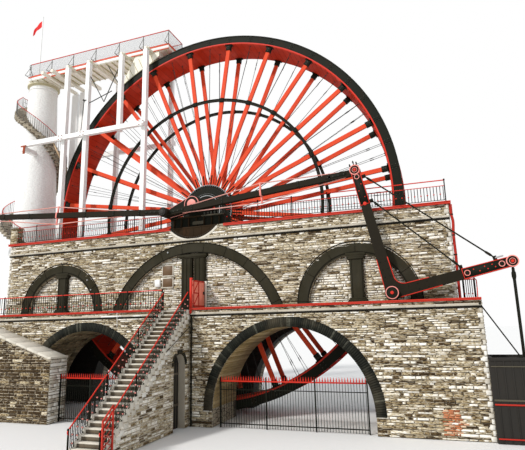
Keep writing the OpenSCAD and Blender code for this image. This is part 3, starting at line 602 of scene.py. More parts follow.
def new_group(name, inputs, outputs):
    """A shader node group: inputs gives each label its default, and outputs its count of numbers. Returns the
    tree, its input node's sockets and its output node."""
    tree = bpy.data.node_groups.new(name, "ShaderNodeTree")
    for label, default in inputs.items():
        kind = SOCKET_KINDS[np.size(default)]
        tree.interface.new_socket(label, in_out="INPUT", socket_type=kind).default_value = default
    for label, size in outputs.items():
        tree.interface.new_socket(label, in_out="OUTPUT", socket_type=SOCKET_KINDS[size])
    return tree, tree.nodes.new("NodeGroupInput").outputs, tree.nodes.new("NodeGroupOutput")


def make_weather_group():
    """Broad fading, fine dirt and rain streaks laid over a base colour, with a matching roughness."""
    tree, given, out = new_group("Weather", {"Base": (0.5, 0.5, 0.5, 1), "Dirt": (0.1, 0.07, 0.04, 1),
                                             "Amount": 0.3,
                                             "Fade": 0.2, "Gloss": 0.5}, {"Colour": 4, "Roughness": 1})
    broad = stretched_noise(tree, 0.55, 3.0)
    fine = stretched_noise(tree, 9.0, 6.0)
    streak = stretched_noise(tree, 3.2, 5.0, (1.0, 1.0, 0.12))
    fade = maths(tree, "MULTIPLY", rescaled(tree, broad, 0.35, 0.7), given["Fade"])
    faded = blend_colours(tree, fade, given["Base"], (0.78, 0.74, 0.68, 1))
    run = maths(tree, "MULTIPLY", rescaled(tree, streak, 0.52, 0.78), rescaled(tree, fine, 0.30, 0.75))
    speck = maths(tree, "MULTIPLY", rescaled(tree, fine, 0.60, 0.80), 0.45)
    total = maths(tree, "ADD", run, speck, use_clamp=True)
    mask = maths(tree, "MULTIPLY", total, given["Amount"])
    rough = maths(tree, "MULTIPLY_ADD", mask, 0.5, given["Gloss"], use_clamp=True)
    join(tree, out, {"Colour": blend_colours(tree, mask, faded, given["Dirt"]), "Roughness": rough})


def make_grain_group():
    """A noise of the given size as a height, and the normal of that height."""
    tree, given, out = new_group("Grain", {"Size": 20.0, "Depth": 0.004, "Stretch": (1, 1, 1)},
                                 {"Normal": 3})
    height = stretched_noise(tree, given["Size"], 6.0, given["Stretch"], 0.65)
    join(tree, out, {"Normal": bumped(tree, height, given["Depth"])})


def make_rubble_group():
    """Rubble in depth: flattened cells give each stone its tone, and the gaps between them are the joints."""
    tree, given, out = new_group("Rubble", {"Stone": (0.5, 0.44, 0.35, 1), "Joint": (0.12, 0.09, 0.06, 1),
                                            "Cells": 2.6, "Relief": 0.02}, {"Colour": 4, "Normal": 3})
    cells = {"Vector": object_places(tree, (1.0, 1.0, 2.7)), "Scale": given["Cells"], "Randomness": 0.85}
    colour = place(tree, "ShaderNodeTexVoronoi", cells).outputs["Color"]
    edge = place(tree, "ShaderNodeTexVoronoi", cells, feature="DISTANCE_TO_EDGE").outputs["Distance"]
    tone = place(tree, "ShaderNodeSeparateColor", {0: colour}).outputs[0]
    varied = blend_colours(tree, rescaled(tree, tone, 0.0, 1.0, 0.0, 0.75), given["Stone"],
                           (0.16, 0.12, 0.075, 1))
    pale = blend_colours(tree, rescaled(tree, stretched_noise(tree, 6.0, 6.0, (1, 1, 2.5)), 0.45, 0.8, 0.0,
                                        0.5),
                         varied, (0.62, 0.58, 0.50, 1))
    joint = rescaled(tree, edge, 0.02, 0.075)
    join(tree, out, {"Colour": blend_colours(tree, joint, given["Joint"], pale),
                     "Normal": bumped(tree, joint, given["Relief"])})


def use_group(tree, name, **links):
    """The outputs of a shader node group put to use."""
    return place(tree, "ShaderNodeGroup", links, node_tree=bpy.data.node_groups[name]).outputs


def start_finish(name):
    """A new material kept in FINISHES; returns its tree and its Principled shader."""
    material = bpy.data.materials.new(name)
    material.use_nodes = True
    FINISHES[name] = material
    return material.node_tree, material.node_tree.nodes["Principled BSDF"]


def painted(name, colour, dirt, amount, fade, gloss, grain=(24.0, 0.002), specular=0.3, stretch=(1, 1, 1)):
    """Paint over iron or timber: weathered colour and roughness, and a fine uneven skin."""
    tree, shader = start_finish(name)
    weather = use_group(tree, "Weather", Base=rgba(colour), Dirt=rgba(dirt), Amount=amount, Fade=fade,
                        Gloss=gloss)
    skin = use_group(tree, "Grain", Size=grain[0], Depth=grain[1], Stretch=stretch)
    join(tree, shader, {"Specular IOR Level": specular, "Base Color": weather["Colour"],
                        "Roughness": weather["Roughness"], "Normal": skin["Normal"]})


def shaded_stone(name, stops, roughness, streak=(1.0, 1.0, 3.5), contrast=0.35):
    """Stone that takes its tone from each block's own shade, with layered streaks and a rough face."""
    tree, shader = start_finish(name)
    shade = place(tree, "ShaderNodeAttribute", attribute_name="shade").outputs["Fac"]
    layers = stretched_noise(tree, 7.0, 7.0, streak, 0.68)
    mixed = maths(tree, "ADD", rescaled(tree, layers, 0.3, 0.7, -contrast, contrast), shade, use_clamp=True)
    ramp = place(tree, "ShaderNodeValToRGB", {0: mixed})
    while len(ramp.color_ramp.elements) < len(stops):
        ramp.color_ramp.elements.new(0.5)
    for element, (position, colour) in zip(ramp.color_ramp.elements, stops):
        element.position, element.color = position, rgba(colour)
    damp = rescaled(tree, stretched_noise(tree, 0.35, 4.0), 0.5, 0.75, 0.0, 0.3)
    skin = use_group(tree, "Grain", Size=30.0, Depth=0.006, Stretch=(1, 1, 1.8))
    join(tree, shader, {"Base Color": blend_colours(tree, damp, ramp.outputs[0], (0.30, 0.24, 0.15, 1)),
                        "Roughness": roughness, "Specular IOR Level": 0.2, "Normal": skin["Normal"]})


def sole_boards(colour):
    """Maroon boards set round the rim: the angle about the axle, cut into even steps, gives each board
    its tone and the dark line between two boards."""
    tree, shader = start_finish("maroon_boards")
    where = place(tree, "ShaderNodeTexCoord").outputs["Object"]
    part = place(tree, "ShaderNodeSeparateXYZ", {0: where})
    height = maths(tree, "SUBTRACT", part.outputs["Z"], AXLE_Z)
    angle = maths(tree, "ARCTAN2", height, part.outputs["X"])
    step = maths(tree, "MULTIPLY", angle, BOARDS_ROUND / (2 * math.pi))
    saw = maths(tree, "FRACT", step)
    number = maths(tree, "FLOOR", step)
    tone = place(tree, "ShaderNodeTexWhiteNoise", {"W": number}, noise_dimensions="1D").outputs["Value"]
    weather = use_group(tree, "Weather", Base=rgba(colour), Dirt=(0.03, 0.015, 0.01, 1), Amount=0.5,
                        Fade=0.05,
                        Gloss=0.6)
    toned = blend_colours(tree, rescaled(tree, tone, 0.0, 1.0, 0.0, 0.45), weather["Colour"],
                          (0.28, 0.015, 0.004, 1))
    line = rescaled(tree, saw, 0.0, 0.06)
    join(tree, shader, {"Base Color": blend_colours(tree, line, (0.01, 0.003, 0.003, 1), toned),
                        "Roughness": weather["Roughness"], "Specular IOR Level": 0.02,
                        "Normal": bumped(tree, line, 0.006)})


def wall_stone(name, stone, joint, cells, relief):
    """Masonry on the faces without laid stones, darkened to near black inside the pit as painted shade: the mask is
    one where y is
    0.7 to 4.0 m and x -12.3 to 12.6 m, below 9.6 m, and it fades to none over the next 0.2 to 0.5 m."""
    tree, shader = start_finish(name)
    rubble = use_group(tree, "Rubble", Stone=rgba(stone), Joint=rgba(joint), Cells=cells, Relief=relief)
    where = place(tree, "ShaderNodeTexCoord").outputs["Object"]
    split = place(tree, "ShaderNodeSeparateXYZ", {0: where}).outputs
    mask = rescaled(tree, split[1], 0.2, 0.7)
    for other in (rescaled(tree, split[1], 4.0, 4.3, 1.0, 0.0),
                  rescaled(tree, split[2], 9.6, 9.8, 1.0, 0.0),
                  rescaled(tree, split[0], -12.6, -12.3), rescaled(tree, split[0], 12.6, 12.9, 1.0, 0.0)):
        mask = maths(tree, "MULTIPLY", mask, other)
    # the near black blended in inside the pit is painted shade
    join(tree, shader, {"Base Color": blend_colours(tree, mask, rubble["Colour"], (0.016, 0.013, 0.009, 1)),
                        "Roughness": 0.93, "Normal": rubble["Normal"]})


def limewash(name, colour):
    """White render over stone: soft lumps of the stones below, brush marks and pale grey weather streaks."""
    tree, shader = start_finish(name)
    weather = use_group(tree, "Weather", Base=rgba(colour), Dirt=(0.42, 0.38, 0.32, 1), Amount=0.35,
                        Fade=0.12,
                        Gloss=0.85)
    edge = place(tree, "ShaderNodeTexVoronoi", {"Vector": object_places(tree, (1.0, 1.0, 2.2)),
                                                "Scale": 3.2},
                 feature="DISTANCE_TO_EDGE").outputs[0]
    lump = rescaled(tree, edge, 0.0, 0.16)
    height = maths(tree, "MULTIPLY_ADD", stretched_noise(tree, 26.0, 6.0), 0.25, lump)
    shadow = blend_colours(tree, rescaled(tree, edge, 0.0, 0.05, 0.22, 0.0), weather["Colour"],
                           (0.5, 0.47, 0.42, 1))
    join(tree, shader, {"Base Color": shadow, "Roughness": weather["Roughness"],
                        "Normal": bumped(tree, height, 0.012, 0.9)})


NODE_FINISH = {
    "rubble_wall": ["front_wall", "rear_wall", "left_end_wall", "right_end_wall", "right_plinth",
                    "lower_tier", "wing_wall"],
    "pale_coping": ["string_courses"],
    "tread_stone": ["stair_steps", "tower_stair"],
    "slate": ["lower_arch_rings"],
    "arch_iron": ["upper_arch_rings", "upper_columns"],
    "rail_grey": ["tower_stair_railing"],
    "pale_gate": ["terrace_gate"],
    "red_band": ["deck_edge", "terrace_edge", "gate_post", "pit_fence", "end_ladder", "axle"],
    "black_iron": ["deck_railing", "terrace_railing", "stair_railings", "front_bearing", "rear_bearing",
                   "wheel_front_shroud", "wheel_rear_shroud", "front_mid_ring", "rear_mid_ring",
                   "front_hub",
                   "rear_hub", "wheel_tie_rods", "crank", "support_rods", "bell_stays", "bell_pedestals",
                   "hanging_rod", "trough_railing"],
    "white_render": ["tower_shaft"],
    "cap_cream": ["tower_cap"],
    "white_iron": ["flagpole", "support_posts", "support_beams"],
    "cream_wood": ["trough", "trough_apron", "trough_joists"],
    "maroon_boards": ["wheel_sole"],
    "bucket_red": ["wheel_buckets"],
    "spoke_orange": ["front_spokes", "rear_spokes"],
    "black_timber": ["main_rod", "connecting_rod", "bell_crank"],
    "dark_pit": ["balance_box"],
}


# The slot that a piece of each finish has, unless its own call says another
SLOT_FINISH = {
    "stone": ["rubble", "rubble_wall", "quoin", "brick", "string_stone", "tread_stone", "pale_coping",
              "dark_stone",
              "soffit_beige", "soffit_brown"],
    "slate": ["slate", "slate_line", "arch_edge"],
    "red_paint": ["red_band", "band_deep", "bright_red", "pale_red", "pale_rod", "pale_gate",
                  "edge_orange"],
    "black_paint": ["black_iron", "grey_iron", "wire_grey", "rod_iron", "rail_grey", "rusty",
                    "housing_brown",
                    "dim_plate", "arch_iron", "brown_plate"],
    "white_render": ["white_render"],
    "white_iron": ["white_iron", "tan_iron"],
    "cream_wood": ["cream_wood", "cap_cream", "olive_edge"],
    "black_wood": ["dark_pit"],
}
FINISH_SLOT = {finish: slot for slot, finishes in SLOT_FINISH.items() for finish in finishes}


class WW_OT_finishes(bpy.types.Operator):
    """Make the paints, stones and limewash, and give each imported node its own"""
    bl_idname = "waterwheel.finishes"
    bl_label = "Finishes"

    def execute(self, context):
        paint, masonry = context.scene.waterwheel_paint, context.scene.waterwheel_masonry
        make_weather_group()
        make_grain_group()
        make_rubble_group()
        rust = (0.10, 0.035, 0.015)
        painted("spoke_orange", paint.spoke_colour, (0.16, 0.02, 0.01), 0.30, 0.0, 0.6, (14.0, 0.003),
                specular=0.12)
        painted("bucket_red", (0.52, 0.022, 0.014), rust, 0.35, 0.05, 0.5)
        painted("red_band", paint.band_colour, rust, 0.40, 0.02, 0.5, specular=0.15)
        painted("band_deep", (0.40, 0.022, 0.012), rust, 0.45, 0.0, 0.5, specular=0.15)
        painted("pale_gate", (0.92, 0.235, 0.155), rust, 0.30, 0.10, 0.5, specular=0.2)
        painted("bright_red", (0.58, 0.030, 0.016), rust, 0.25, 0.0, 0.5, specular=0.15)
        painted("pale_red", (0.78, 0.23, 0.19), rust, 0.30, 0.15, 0.45)
        painted("black_iron", paint.iron_colour, rust, 0.25, 0.0, 0.6, specular=0.10)
        painted("rod_iron", (0.030, 0.028, 0.024), rust, 0.3, 0.0, 0.6, specular=0.2)
        painted("pale_rod", (0.66, 0.27, 0.22), rust, 0.30, 0.15, 0.5)
        painted("grey_iron", (0.040, 0.042, 0.034), (0.02, 0.015, 0.01), 0.35, 0.0, 0.55, specular=0.25)
        painted("black_timber", (0.014, 0.011, 0.006), (0.05, 0.036, 0.02), 0.35, 0.0, 0.65, (9.0, 0.006),
                specular=0.10,
                stretch=(0.3, 1, 1))
        painted("white_iron", paint.white_colour, (0.30, 0.14, 0.07), 0.22, 0.05, 0.45)
        painted("cream_wood", paint.cream_colour, (0.22, 0.17, 0.09), 0.30, 0.10, 0.6)
        painted("cap_cream", (0.70, 0.66, 0.52), (0.25, 0.2, 0.12), 0.35, 0.10, 0.75)
        painted("rusty", (0.30, 0.055, 0.02), (0.10, 0.04, 0.02), 0.8, 0.0, 0.8)
        painted("dark_pit", (0.018, 0.016, 0.013), (0.05, 0.04, 0.03), 0.5, 0.0, 0.8)
        painted("wire_grey", (0.36, 0.37, 0.37), rust, 0.25, 0.05, 0.5)
        painted("rail_grey", (0.125, 0.120, 0.105), rust, 0.3, 0.0, 0.5)
        painted("olive_edge", (0.46, 0.41, 0.25), (0.12, 0.09, 0.04), 0.4, 0.1, 0.7)
        painted("edge_orange", (0.72, 0.11, 0.04), rust, 0.3, 0.0, 0.5)
        painted("tan_iron", (0.50, 0.34, 0.19), rust, 0.4, 0.1, 0.6)
        # dark brown: the painted shade of the stair risers, and the dark wood of the door battens
        painted("dark_stone", (0.10, 0.075, 0.045), (0.03, 0.02, 0.012), 0.6, 0.1, 0.95, (18.0, 0.012))
        # near black: the painted shadow strips under the string courses, and the bead on the stair flank
        painted("slate_line", (0.012, 0.010, 0.007), (0.05, 0.04, 0.02), 0.4, 0.0, 0.85, specular=0.15)
        painted("arch_iron", (0.026, 0.023, 0.013), (0.07, 0.055, 0.030), 0.45, 0.02, 0.8,
                (10.0, 0.006), specular=0.04)
        painted("string_stone", (0.44, 0.40, 0.32), (0.12, 0.09, 0.05), 0.6, 0.2, 0.9, (16.0, 0.014))
        painted("housing_brown", (0.030, 0.019, 0.010), rust, 0.5, 0.0, 0.8, specular=0.06)
        painted("dim_plate", (0.085, 0.075, 0.052), (0.03, 0.025, 0.018), 0.5, 0.0, 0.7, specular=0.15)
        painted("arch_edge", (0.011, 0.010, 0.007), (0.02, 0.015, 0.01), 0.4, 0.0, 0.8, specular=0.04)
        painted("brown_plate", (0.115, 0.060, 0.022), (0.04, 0.02, 0.01), 0.35, 0.05, 0.5)
        painted("tread_stone", (0.36, 0.31, 0.23), (0.10, 0.08, 0.05), 0.6, 0.2, 0.9, (18.0, 0.012))
        painted("pale_coping", (0.64, 0.60, 0.51), (0.20, 0.16, 0.10), 0.55, 0.25, 0.9, (16.0, 0.014))
        painted("flag_cloth", (0.66, 0.02, 0.02), (0.3, 0.01, 0.01), 0.2, 0.0, 0.8, (220.0, 0.0006))
        wall_stone("rubble_wall", masonry.stone_colour, masonry.joint_colour, 2.4, 0.03)
        sole_boards(paint.sole_colour)
        limewash("white_render", paint.white_colour)
        shaded_stone("rubble", [(0.0, (0.028, 0.016, 0.006)), (0.28, (0.12, 0.078, 0.034)),
                                (0.50, (0.34, 0.260, 0.138)), (0.72, (0.62, 0.545, 0.390)),
                                (1.0, (0.94, 0.91, 0.84))], 0.9, contrast=0.45)
        shaded_stone("soffit_beige", [(0.0, (0.11, 0.075, 0.028)), (0.5, (0.29, 0.205, 0.090)),
                                      (1.0, (0.48, 0.37, 0.20))], 0.9, (0.4, 0.12, 0.4), contrast=0.2)
        shaded_stone("soffit_brown", [(0.0, (0.06, 0.045, 0.022)), (0.5, (0.19, 0.145, 0.078)),
                                      (1.0, (0.34, 0.27, 0.17))], 0.9, contrast=0.3)
        shaded_stone("slate", [(0.0, (0.004, 0.005, 0.003)), (0.5, (0.009, 0.010, 0.006)),
                               (0.8, (0.020, 0.021, 0.014)), (1.0, (0.08, 0.08, 0.06))], 0.75,
                     contrast=0.16)
        shaded_stone("quoin", [(0.0, (0.33, 0.29, 0.22)), (0.5, (0.56, 0.52, 0.44)),
                               (1.0, (0.80, 0.78, 0.72))], 0.88,
                     contrast=0.25)
        shaded_stone("brick", [(0.0, (0.26, 0.075, 0.03)), (0.5, (0.52, 0.17, 0.07)),
                               (1.0, (0.70, 0.52, 0.36))], 0.9,
                     contrast=0.2)
        for finish, nodes in NODE_FINISH.items():
            for name in nodes:
                node = frame["nodes"][name]
                node.data.materials.clear()
                node.data.materials.append(FINISHES[finish])
        return {"FINISHED"}


# Masonry
def outward(part):
    """Turns a closed part's faces over when its signed volume is below zero."""
    co, faces = part
    total = 0.0
    for quads in faces:
        corner = co[quads]
        for k in range(1, quads.shape[1] - 1):
            total += np.einsum("ij,ij->", corner[:, 0], np.cross(corner[:, k], corner[:, k + 1]))
    return (co, [q[:, ::-1] for q in faces]) if total < 0 else part


def cut(spans, low, high):
    """Spans with the stretch from low to high taken out."""
    kept = []
    for a, b in spans:
        if high <= a or low >= b:
            kept.append((a, b))
            continue
        if low > a:
            kept.append((a, low))
        if high < b:
            kept.append((high, b))
    return kept


def chord(cx, cz, radius, v):
    """Where the level line v crosses a circle, or an empty stretch."""
    rest = radius * radius - (v - cz) ** 2
    half = math.sqrt(rest) if rest > 0 else -1.0
    return cx - half, cx + half


def lay_courses(rng, v0, v1, spans_at, course, length, joint):
    """Stones of a rubble wall as rows (u0, u1, v0, v1): courses of uneven height, cut into uneven lengths."""
    rows, v = [], v0
    while v < v1 - 0.03:
        rise = course * rng.uniform(0.55, 1.5)
        if v1 - (v + rise) < 0.045:
            rise = v1 - v
        for a, b in spans_at(v + rise / 2):
            if b - a < 0.07:
                continue
            runs = length * np.clip(rng.gamma(3.2, 0.31, int((b - a) / length * 3) + 4), 0.28, 2.6)
            edge = a + np.concatenate([[0], np.cumsum(runs)])
            edge = edge[edge < b - 0.09]
            edge = np.append(edge, b)
            rows.append(np.c_[edge[:-1] + joint / 2, edge[1:] - joint / 2,
                              np.full(len(edge) - 1, v + joint / 2),
                              np.full(len(edge) - 1, v + rise - joint / 2)])
        v += rise
    return np.concatenate(rows)


def stone_blocks(rng, rects, origin, face, relief, bevel=0.013):
    """Each rect becomes a closed block: base corners sunk in the wall, face corners drawn in by a bevel and
    shifted by chance, and a crown point: place = origin + u u_dir + v v_dir + h n_dir, the face's ways."""
    u_dir, v_dir, n_dir = face
    rough, sink = 0.009, 0.006
    count = len(rects)
    u0, u1, v0, v1 = rects.T
    inset = np.minimum(bevel, np.minimum(u1 - u0, v1 - v0) * 0.22)
    u = np.stack([u0, u1, u1, u0, u0 + inset, u1 - inset, u1 - inset, u0 + inset, (u0 + u1) / 2], 1)
    v = np.stack([v0, v0, v1, v1, v0 + inset, v0 + inset, v1 - inset, v1 - inset, (v0 + v1) / 2], 1)
    height = relief * rng.uniform(0.35, 1.0, (count, 1))
    h = np.concatenate([np.full((count, 4), -sink), height + relief * rng.uniform(-0.22, 0.22, (count, 4)),
                        height + relief * rng.uniform(0.0, 0.35, (count, 1))], 1)
    u[:, 4:8] += rng.uniform(-rough, rough, (count, 4)) * 0.5
    v[:, 4:8] += rng.uniform(-rough, rough, (count, 4)) * 0.5
    co = np.asarray(origin, float) + u[..., None] * u_dir + v[..., None] * v_dir + h[..., None] * n_dir
    base = 9 * np.arange(count)[:, None, None]
    quads = np.array([[3, 2, 1, 0], [0, 1, 5, 4], [1, 2, 6, 5], [2, 3, 7, 6], [3, 0, 4, 7]])[None] + base
    tris = np.array([[4, 5, 8], [5, 6, 8], [6, 7, 8], [7, 4, 8]])[None] + base
    faces = [quads.reshape(-1, 4), tris.reshape(-1, 3)]
    if np.dot(np.cross(u_dir, v_dir), n_dir) < 0:
        faces = [f[:, ::-1] for f in faces]
    return co.reshape(-1, 3), faces


def tones(rng, count, mean, spread, low, high, points=8):
    """One tone for each stone, held between two limits and repeated for its points."""
    return np.repeat(np.clip(rng.normal(mean, spread, count), low, high), points)


class StoneStore:
    """Gathers the blocks of several faces into one piece."""

    def __init__(self, seed):
        """Starts an empty store with its own chance."""
        self.rng = np.random.default_rng(seed)
        self.parts, self.shades = [], []

    def lay(self, v0, v1, spans_at, origin, face, settings, scale=1.0, mean=0.60):
        """Lays rubble on a face from level v0 to v1, where spans_at(level) gives its free stretches."""
        rects = lay_courses(self.rng, v0, v1, spans_at, settings.course * scale,
                            settings.stone_length * scale,
                            settings.joint)
        self.add(rects, origin, face, settings.relief, mean)

    def add(self, rects, origin, face, relief, mean=0.60, bevel=0.013):
        """Adds one block for each rect, each with its tone."""
        self.parts.append(stone_blocks(self.rng, rects, origin, face, relief, bevel))
        self.shades.append(tones(self.rng, len(rects), mean, 0.30, 0.02, 1.0, 9))

    def finish(self, name, material):
        """Makes the piece."""
        return add_piece(name, self.parts, material, shade=np.concatenate(self.shades))


def quoin_rects(v0, v1, u_corner, inwards, rise=0.21):
    """Corner blocks, long and short by turns."""
    count = int((v1 - v0) / rise)
    edge = np.linspace(v0, v1, count + 1)
    run = np.where(np.arange(count) % 2 == 0, 0.22, 0.13)
    u0 = np.full(count, u_corner) if inwards > 0 else u_corner - run
    u1 = u_corner + run if inwards > 0 else np.full(count, u_corner)
    return np.c_[u0 + 0.004, u1 - 0.008, edge[:-1] + 0.008, edge[1:] - 0.008]


def lower_spans(left, right):
    """Free stretches of a lower wall beside its two arches."""
    def at(v):
        """The stretches at the level v."""
        spans = [(left, right)]
        for x in (-ARCH_X, ARCH_X):
            reach = (x - ARCH_R, x + ARCH_R) if v < ARCH_Z else chord(x, ARCH_Z, ARCH_R + 0.25, v)
            spans = cut(spans, *reach)
        return spans
    return at


def wing_edge(v):
    """Where the wing wall's raking top crosses the level line v."""
    return WING_TOE_X - max(0.0, v - WING_PIER_Z) * WING_RUN / WING_DROP


def blind_cuts(spans, v):
    """Spans of the upper wall without the stretches that its three blind arches take."""
    for cx, cz, radius in BLIND_ARCHES:
        spans = cut(spans, *chord(cx, cz, radius + 0.4, v))
    return spans


class WW_OT_front_masonry(bpy.types.Operator):
    """Lay the rubble of the front faces: the upper wall, its blind arches and the lower tier"""
    bl_idname = "waterwheel.front_masonry"
    bl_label = "Front masonry"

    def execute(self, context):
        masonry = context.scene.waterwheel_masonry
        origin = np.array([0, WALL_Y, 0])

        def upper(v):
            """Free stretches of the upper wall."""
            spans = blind_cuts([(WALL_LOW[0] + 0.17, WALL_HIGH[0] - 0.17)], v)
            return cut(spans, *chord(0.0, AXLE_Z, POCKET_R + 0.10, v))

        store = StoneStore(11)
        store.lay(FLOOR_Z, UPPER_STRING[0], upper, origin, FRONT_FACE, masonry, 0.82, 0.60)
        store.lay(UPPER_STRING[1], STONES_TOP_Z, upper, origin, FRONT_FACE, masonry, 0.95, 0.64)
        for (cx, cz, radius), column in zip(BLIND_ARCHES, ((-9.0, -8.4), (8.4, 9.0), (-0.68, 0.68))):
            def recess(v):
                """Free stretches of a blind arch beside its column."""
                spans = cut([chord(cx, cz, radius - 0.01, v)], column[0] - 0.02, column[1] + 0.02)
                return [s for s in spans if s[1] > s[0]]
            store.lay(FLOOR_Z, cz + radius - 0.03, recess, origin + [0, BLIND_D, 0], FRONT_FACE, masonry,
                      0.85, 0.94)
        store.finish("upper_front_stones", "rubble")

        lower = lower_spans(TIER_LOW[0] + 0.02, TIER_HIGH[0] - 0.17)

        def lower_front(v):
            """Free stretches of the lower tier beside the stair and the wing wall."""
            spans = cut(lower(v), STAIR_LOW[0] - 0.01, STAIR_HIGH[0] + 0.01)
            if v < 3.2:
                return cut(spans, -20.0, -6.68)
            return cut(spans, -20.0, wing_edge(v) + 0.02) if v < 5.3 else spans

        store = StoneStore(12)
        origin = np.array([0, TIER_Y, 0])
        store.lay(0.0, LOWER_STRING[0], lower_front, origin, FRONT_FACE, masonry, 0.82, 0.58)
        store.lay(LOWER_STRING[1], TERRACE_Z, lambda v: cut([(TIER_LOW[0], TIER_HIGH[0])], STAIR_LOW[0],
                                                            STAIR_HIGH[0]),
                  origin, FRONT_FACE, masonry, 1.0, 0.5)
        store.finish("lower_front_stones", "rubble")

        store = StoneStore(13)
        for y, corner, inwards, v0, v1 in ((WALL_Y, WALL_LOW[0], 1, FLOOR_Z, STONES_TOP_Z),
                                           (WALL_Y, WALL_HIGH[0], -1, FLOOR_Z, STONES_TOP_Z),
                                           (TIER_Y, TIER_HIGH[0], -1, 0.0, LOWER_STRING[0])):
            store.add(quoin_rects(v0, v1, corner, inwards), np.array([0, y, 0]), FRONT_FACE, 0.030, 0.82,
                      0.02)
        store.finish("front_quoins", "quoin")
        return {"FINISHED"}


class WW_OT_side_masonry(bpy.types.Operator):
    """Lay the rubble of the rear face, the two ends, the stair's flanks and the wing wall"""
    bl_idname = "waterwheel.side_masonry"
    bl_label = "Side masonry"

    def execute(self, context):
        masonry = context.scene.waterwheel_masonry
        rear_y = REAR_HIGH[1]
        rear = np.array([0, rear_y, 0])
        lower = lower_spans(REAR_LOW[0], REAR_HIGH[0])
        store = StoneStore(21)
        store.lay(0.0, TERRACE_Z, lower, rear, REAR_FACE, masonry, 1.05)
        store.lay(TERRACE_Z, DECK_Z, lambda v: blind_cuts([(REAR_LOW[0], REAR_HIGH[0])], v), rear,
                  REAR_FACE, masonry,
                  1.05)
        for cx, cz, radius in BLIND_ARCHES:
            store.lay(TERRACE_Z, cz + radius - 0.03, lambda v: [chord(cx, cz, radius - 0.01, v)],
                      rear - [0, BLIND_D, 0], REAR_FACE, masonry, 1.05, 0.52)
        store.finish("rear_stones", "rubble")

        def right_low(v):
            """Free stretches of the right end beside the pit box and the bell crank's slot."""
            spans = [(TIER_Y + 0.03, rear_y)]
            if v < PIT_BOX_HIGH[2] + 0.05:
                spans = cut(spans, PIT_BOX_LOW[1], PIT_BOX_HIGH[1])
            return cut(spans, BELL_Y - 0.15, BELL_Y + 0.15) if v > 4.3 else spans

        def upper_left(v):
            """The left end of the upper wall, from its front face or just behind it."""
            return [(WALL_Y if v > TERRACE_Z else WALL_Y + 0.02, WALL_HIGH[1])]

        store = StoneStore(22)
        for v0, v1, spans_at, x, face in (
                (0.0, TERRACE_Z, right_low, TIER_HIGH[0], RIGHT_FACE),
                (TERRACE_Z, DECK_Z, lambda v: [(WALL_Y + 0.03, rear_y)], WALL_HIGH[0], RIGHT_FACE),
                (0.0, TERRACE_Z, lambda v: [(TIER_Y, WALL_Y)], TIER_LOW[0], LEFT_FACE),
                (0.0, DECK_Z, upper_left, WALL_LOW[0], LEFT_FACE),
                (0.0, DECK_Z, lambda v: [(WALL_HIGH[1], rear_y)], LEFT_LOW[0], LEFT_FACE)):
            store.lay(v0, v1, spans_at, (x, 0, 0), face, masonry, 0.95)
        store.finish("end_stones", "rubble")

        def flank(v):
            """Free stretches of the stair's flank behind its steps and beside its small arch."""
            nose = TIER_Y - (STAIR_HIGH[2] - v) * TREAD_RUN / RISER
            spans = [(nose + 0.10, TIER_Y - 0.03)]
            reach = (SMALL_ARCH_Y - SMALL_ARCH_R, SMALL_ARCH_Y + SMALL_ARCH_R)
            if v >= SMALL_ARCH_Z:
                reach = chord(SMALL_ARCH_Y, SMALL_ARCH_Z, SMALL_ARCH_R + 0.05, v)
            return cut(spans, *reach)

        store = StoneStore(23)
        for x, face in ((STAIR_LOW[0], LEFT_FACE), (STAIR_HIGH[0], RIGHT_FACE)):
            store.lay(0.0, 5.30, flank, (x, 0, 0), face, masonry, 0.9, 0.66)
        store.finish("stair_stones", "rubble")

        store = StoneStore(24)
        wing_y, wing_top = TIER_Y - 1.25, 5.36
        # the wing wall's front takes a mean tone of 0.06, dark as painted shade
        store.lay(0.0, wing_top, lambda v: [(WING_END_X, wing_edge(v + 0.12) if v > 3.05 else WING_PIER_X)],
                  (0, wing_y, 0), FRONT_FACE, masonry, 1.0, 0.06)
        store.lay(0.0, wing_top, lambda v: [(wing_y, TIER_Y)], (WING_END_X, 0, 0), LEFT_FACE, masonry, 1.0,
                  0.3)
        store.finish("wing_stones", "rubble")
        store = StoneStore(25)
        store.lay(0.0, 3.13, lambda v: [(wing_y, TIER_Y - 0.05)], (WING_PIER_X, 0, 0), RIGHT_FACE, masonry,
                  1.15, 0.72)
        store.finish("pier_stones", "quoin")
        return {"FINISHED"}


def voussoirs(rng, cx, cz, r_in, r_out, a0, a1, y_face, proud, width=0.115, side=-1.0):
    """Wedge stones round an arch: corner = centre + r (cos a, sin a), from inside the face to proud of it."""
    count = max(3, int(round((a1 - a0) * (r_in + r_out) / 2 / width)))
    edge = np.linspace(a0, a1, count + 1)
    gap = 0.10 * (a1 - a0) / count
    low, high = edge[:-1] + gap / 2, edge[1:] - gap / 2
    reach = r_out + rng.uniform(-0.025, 0.0, count)
    depth = proud * rng.uniform(0.65, 1.0, count)
    a = np.stack([low, high] * 4, 1)
    r = np.stack([np.full(count, r_in), np.full(count, r_in), reach, reach] * 2, 1)
    y = np.concatenate([np.repeat((y_face - side * 0.01) * np.ones((count, 1)), 4, 1),
                        np.repeat((y_face + side * depth)[:, None], 4, 1)], 1)
    co = np.stack([cx + r * np.cos(a), y, cz + r * np.sin(a)], -1).reshape(-1, 3)
    return outward((co, [box_faces(count)])), tones(rng, count, 0.42, 0.26, 0.02, 0.95)


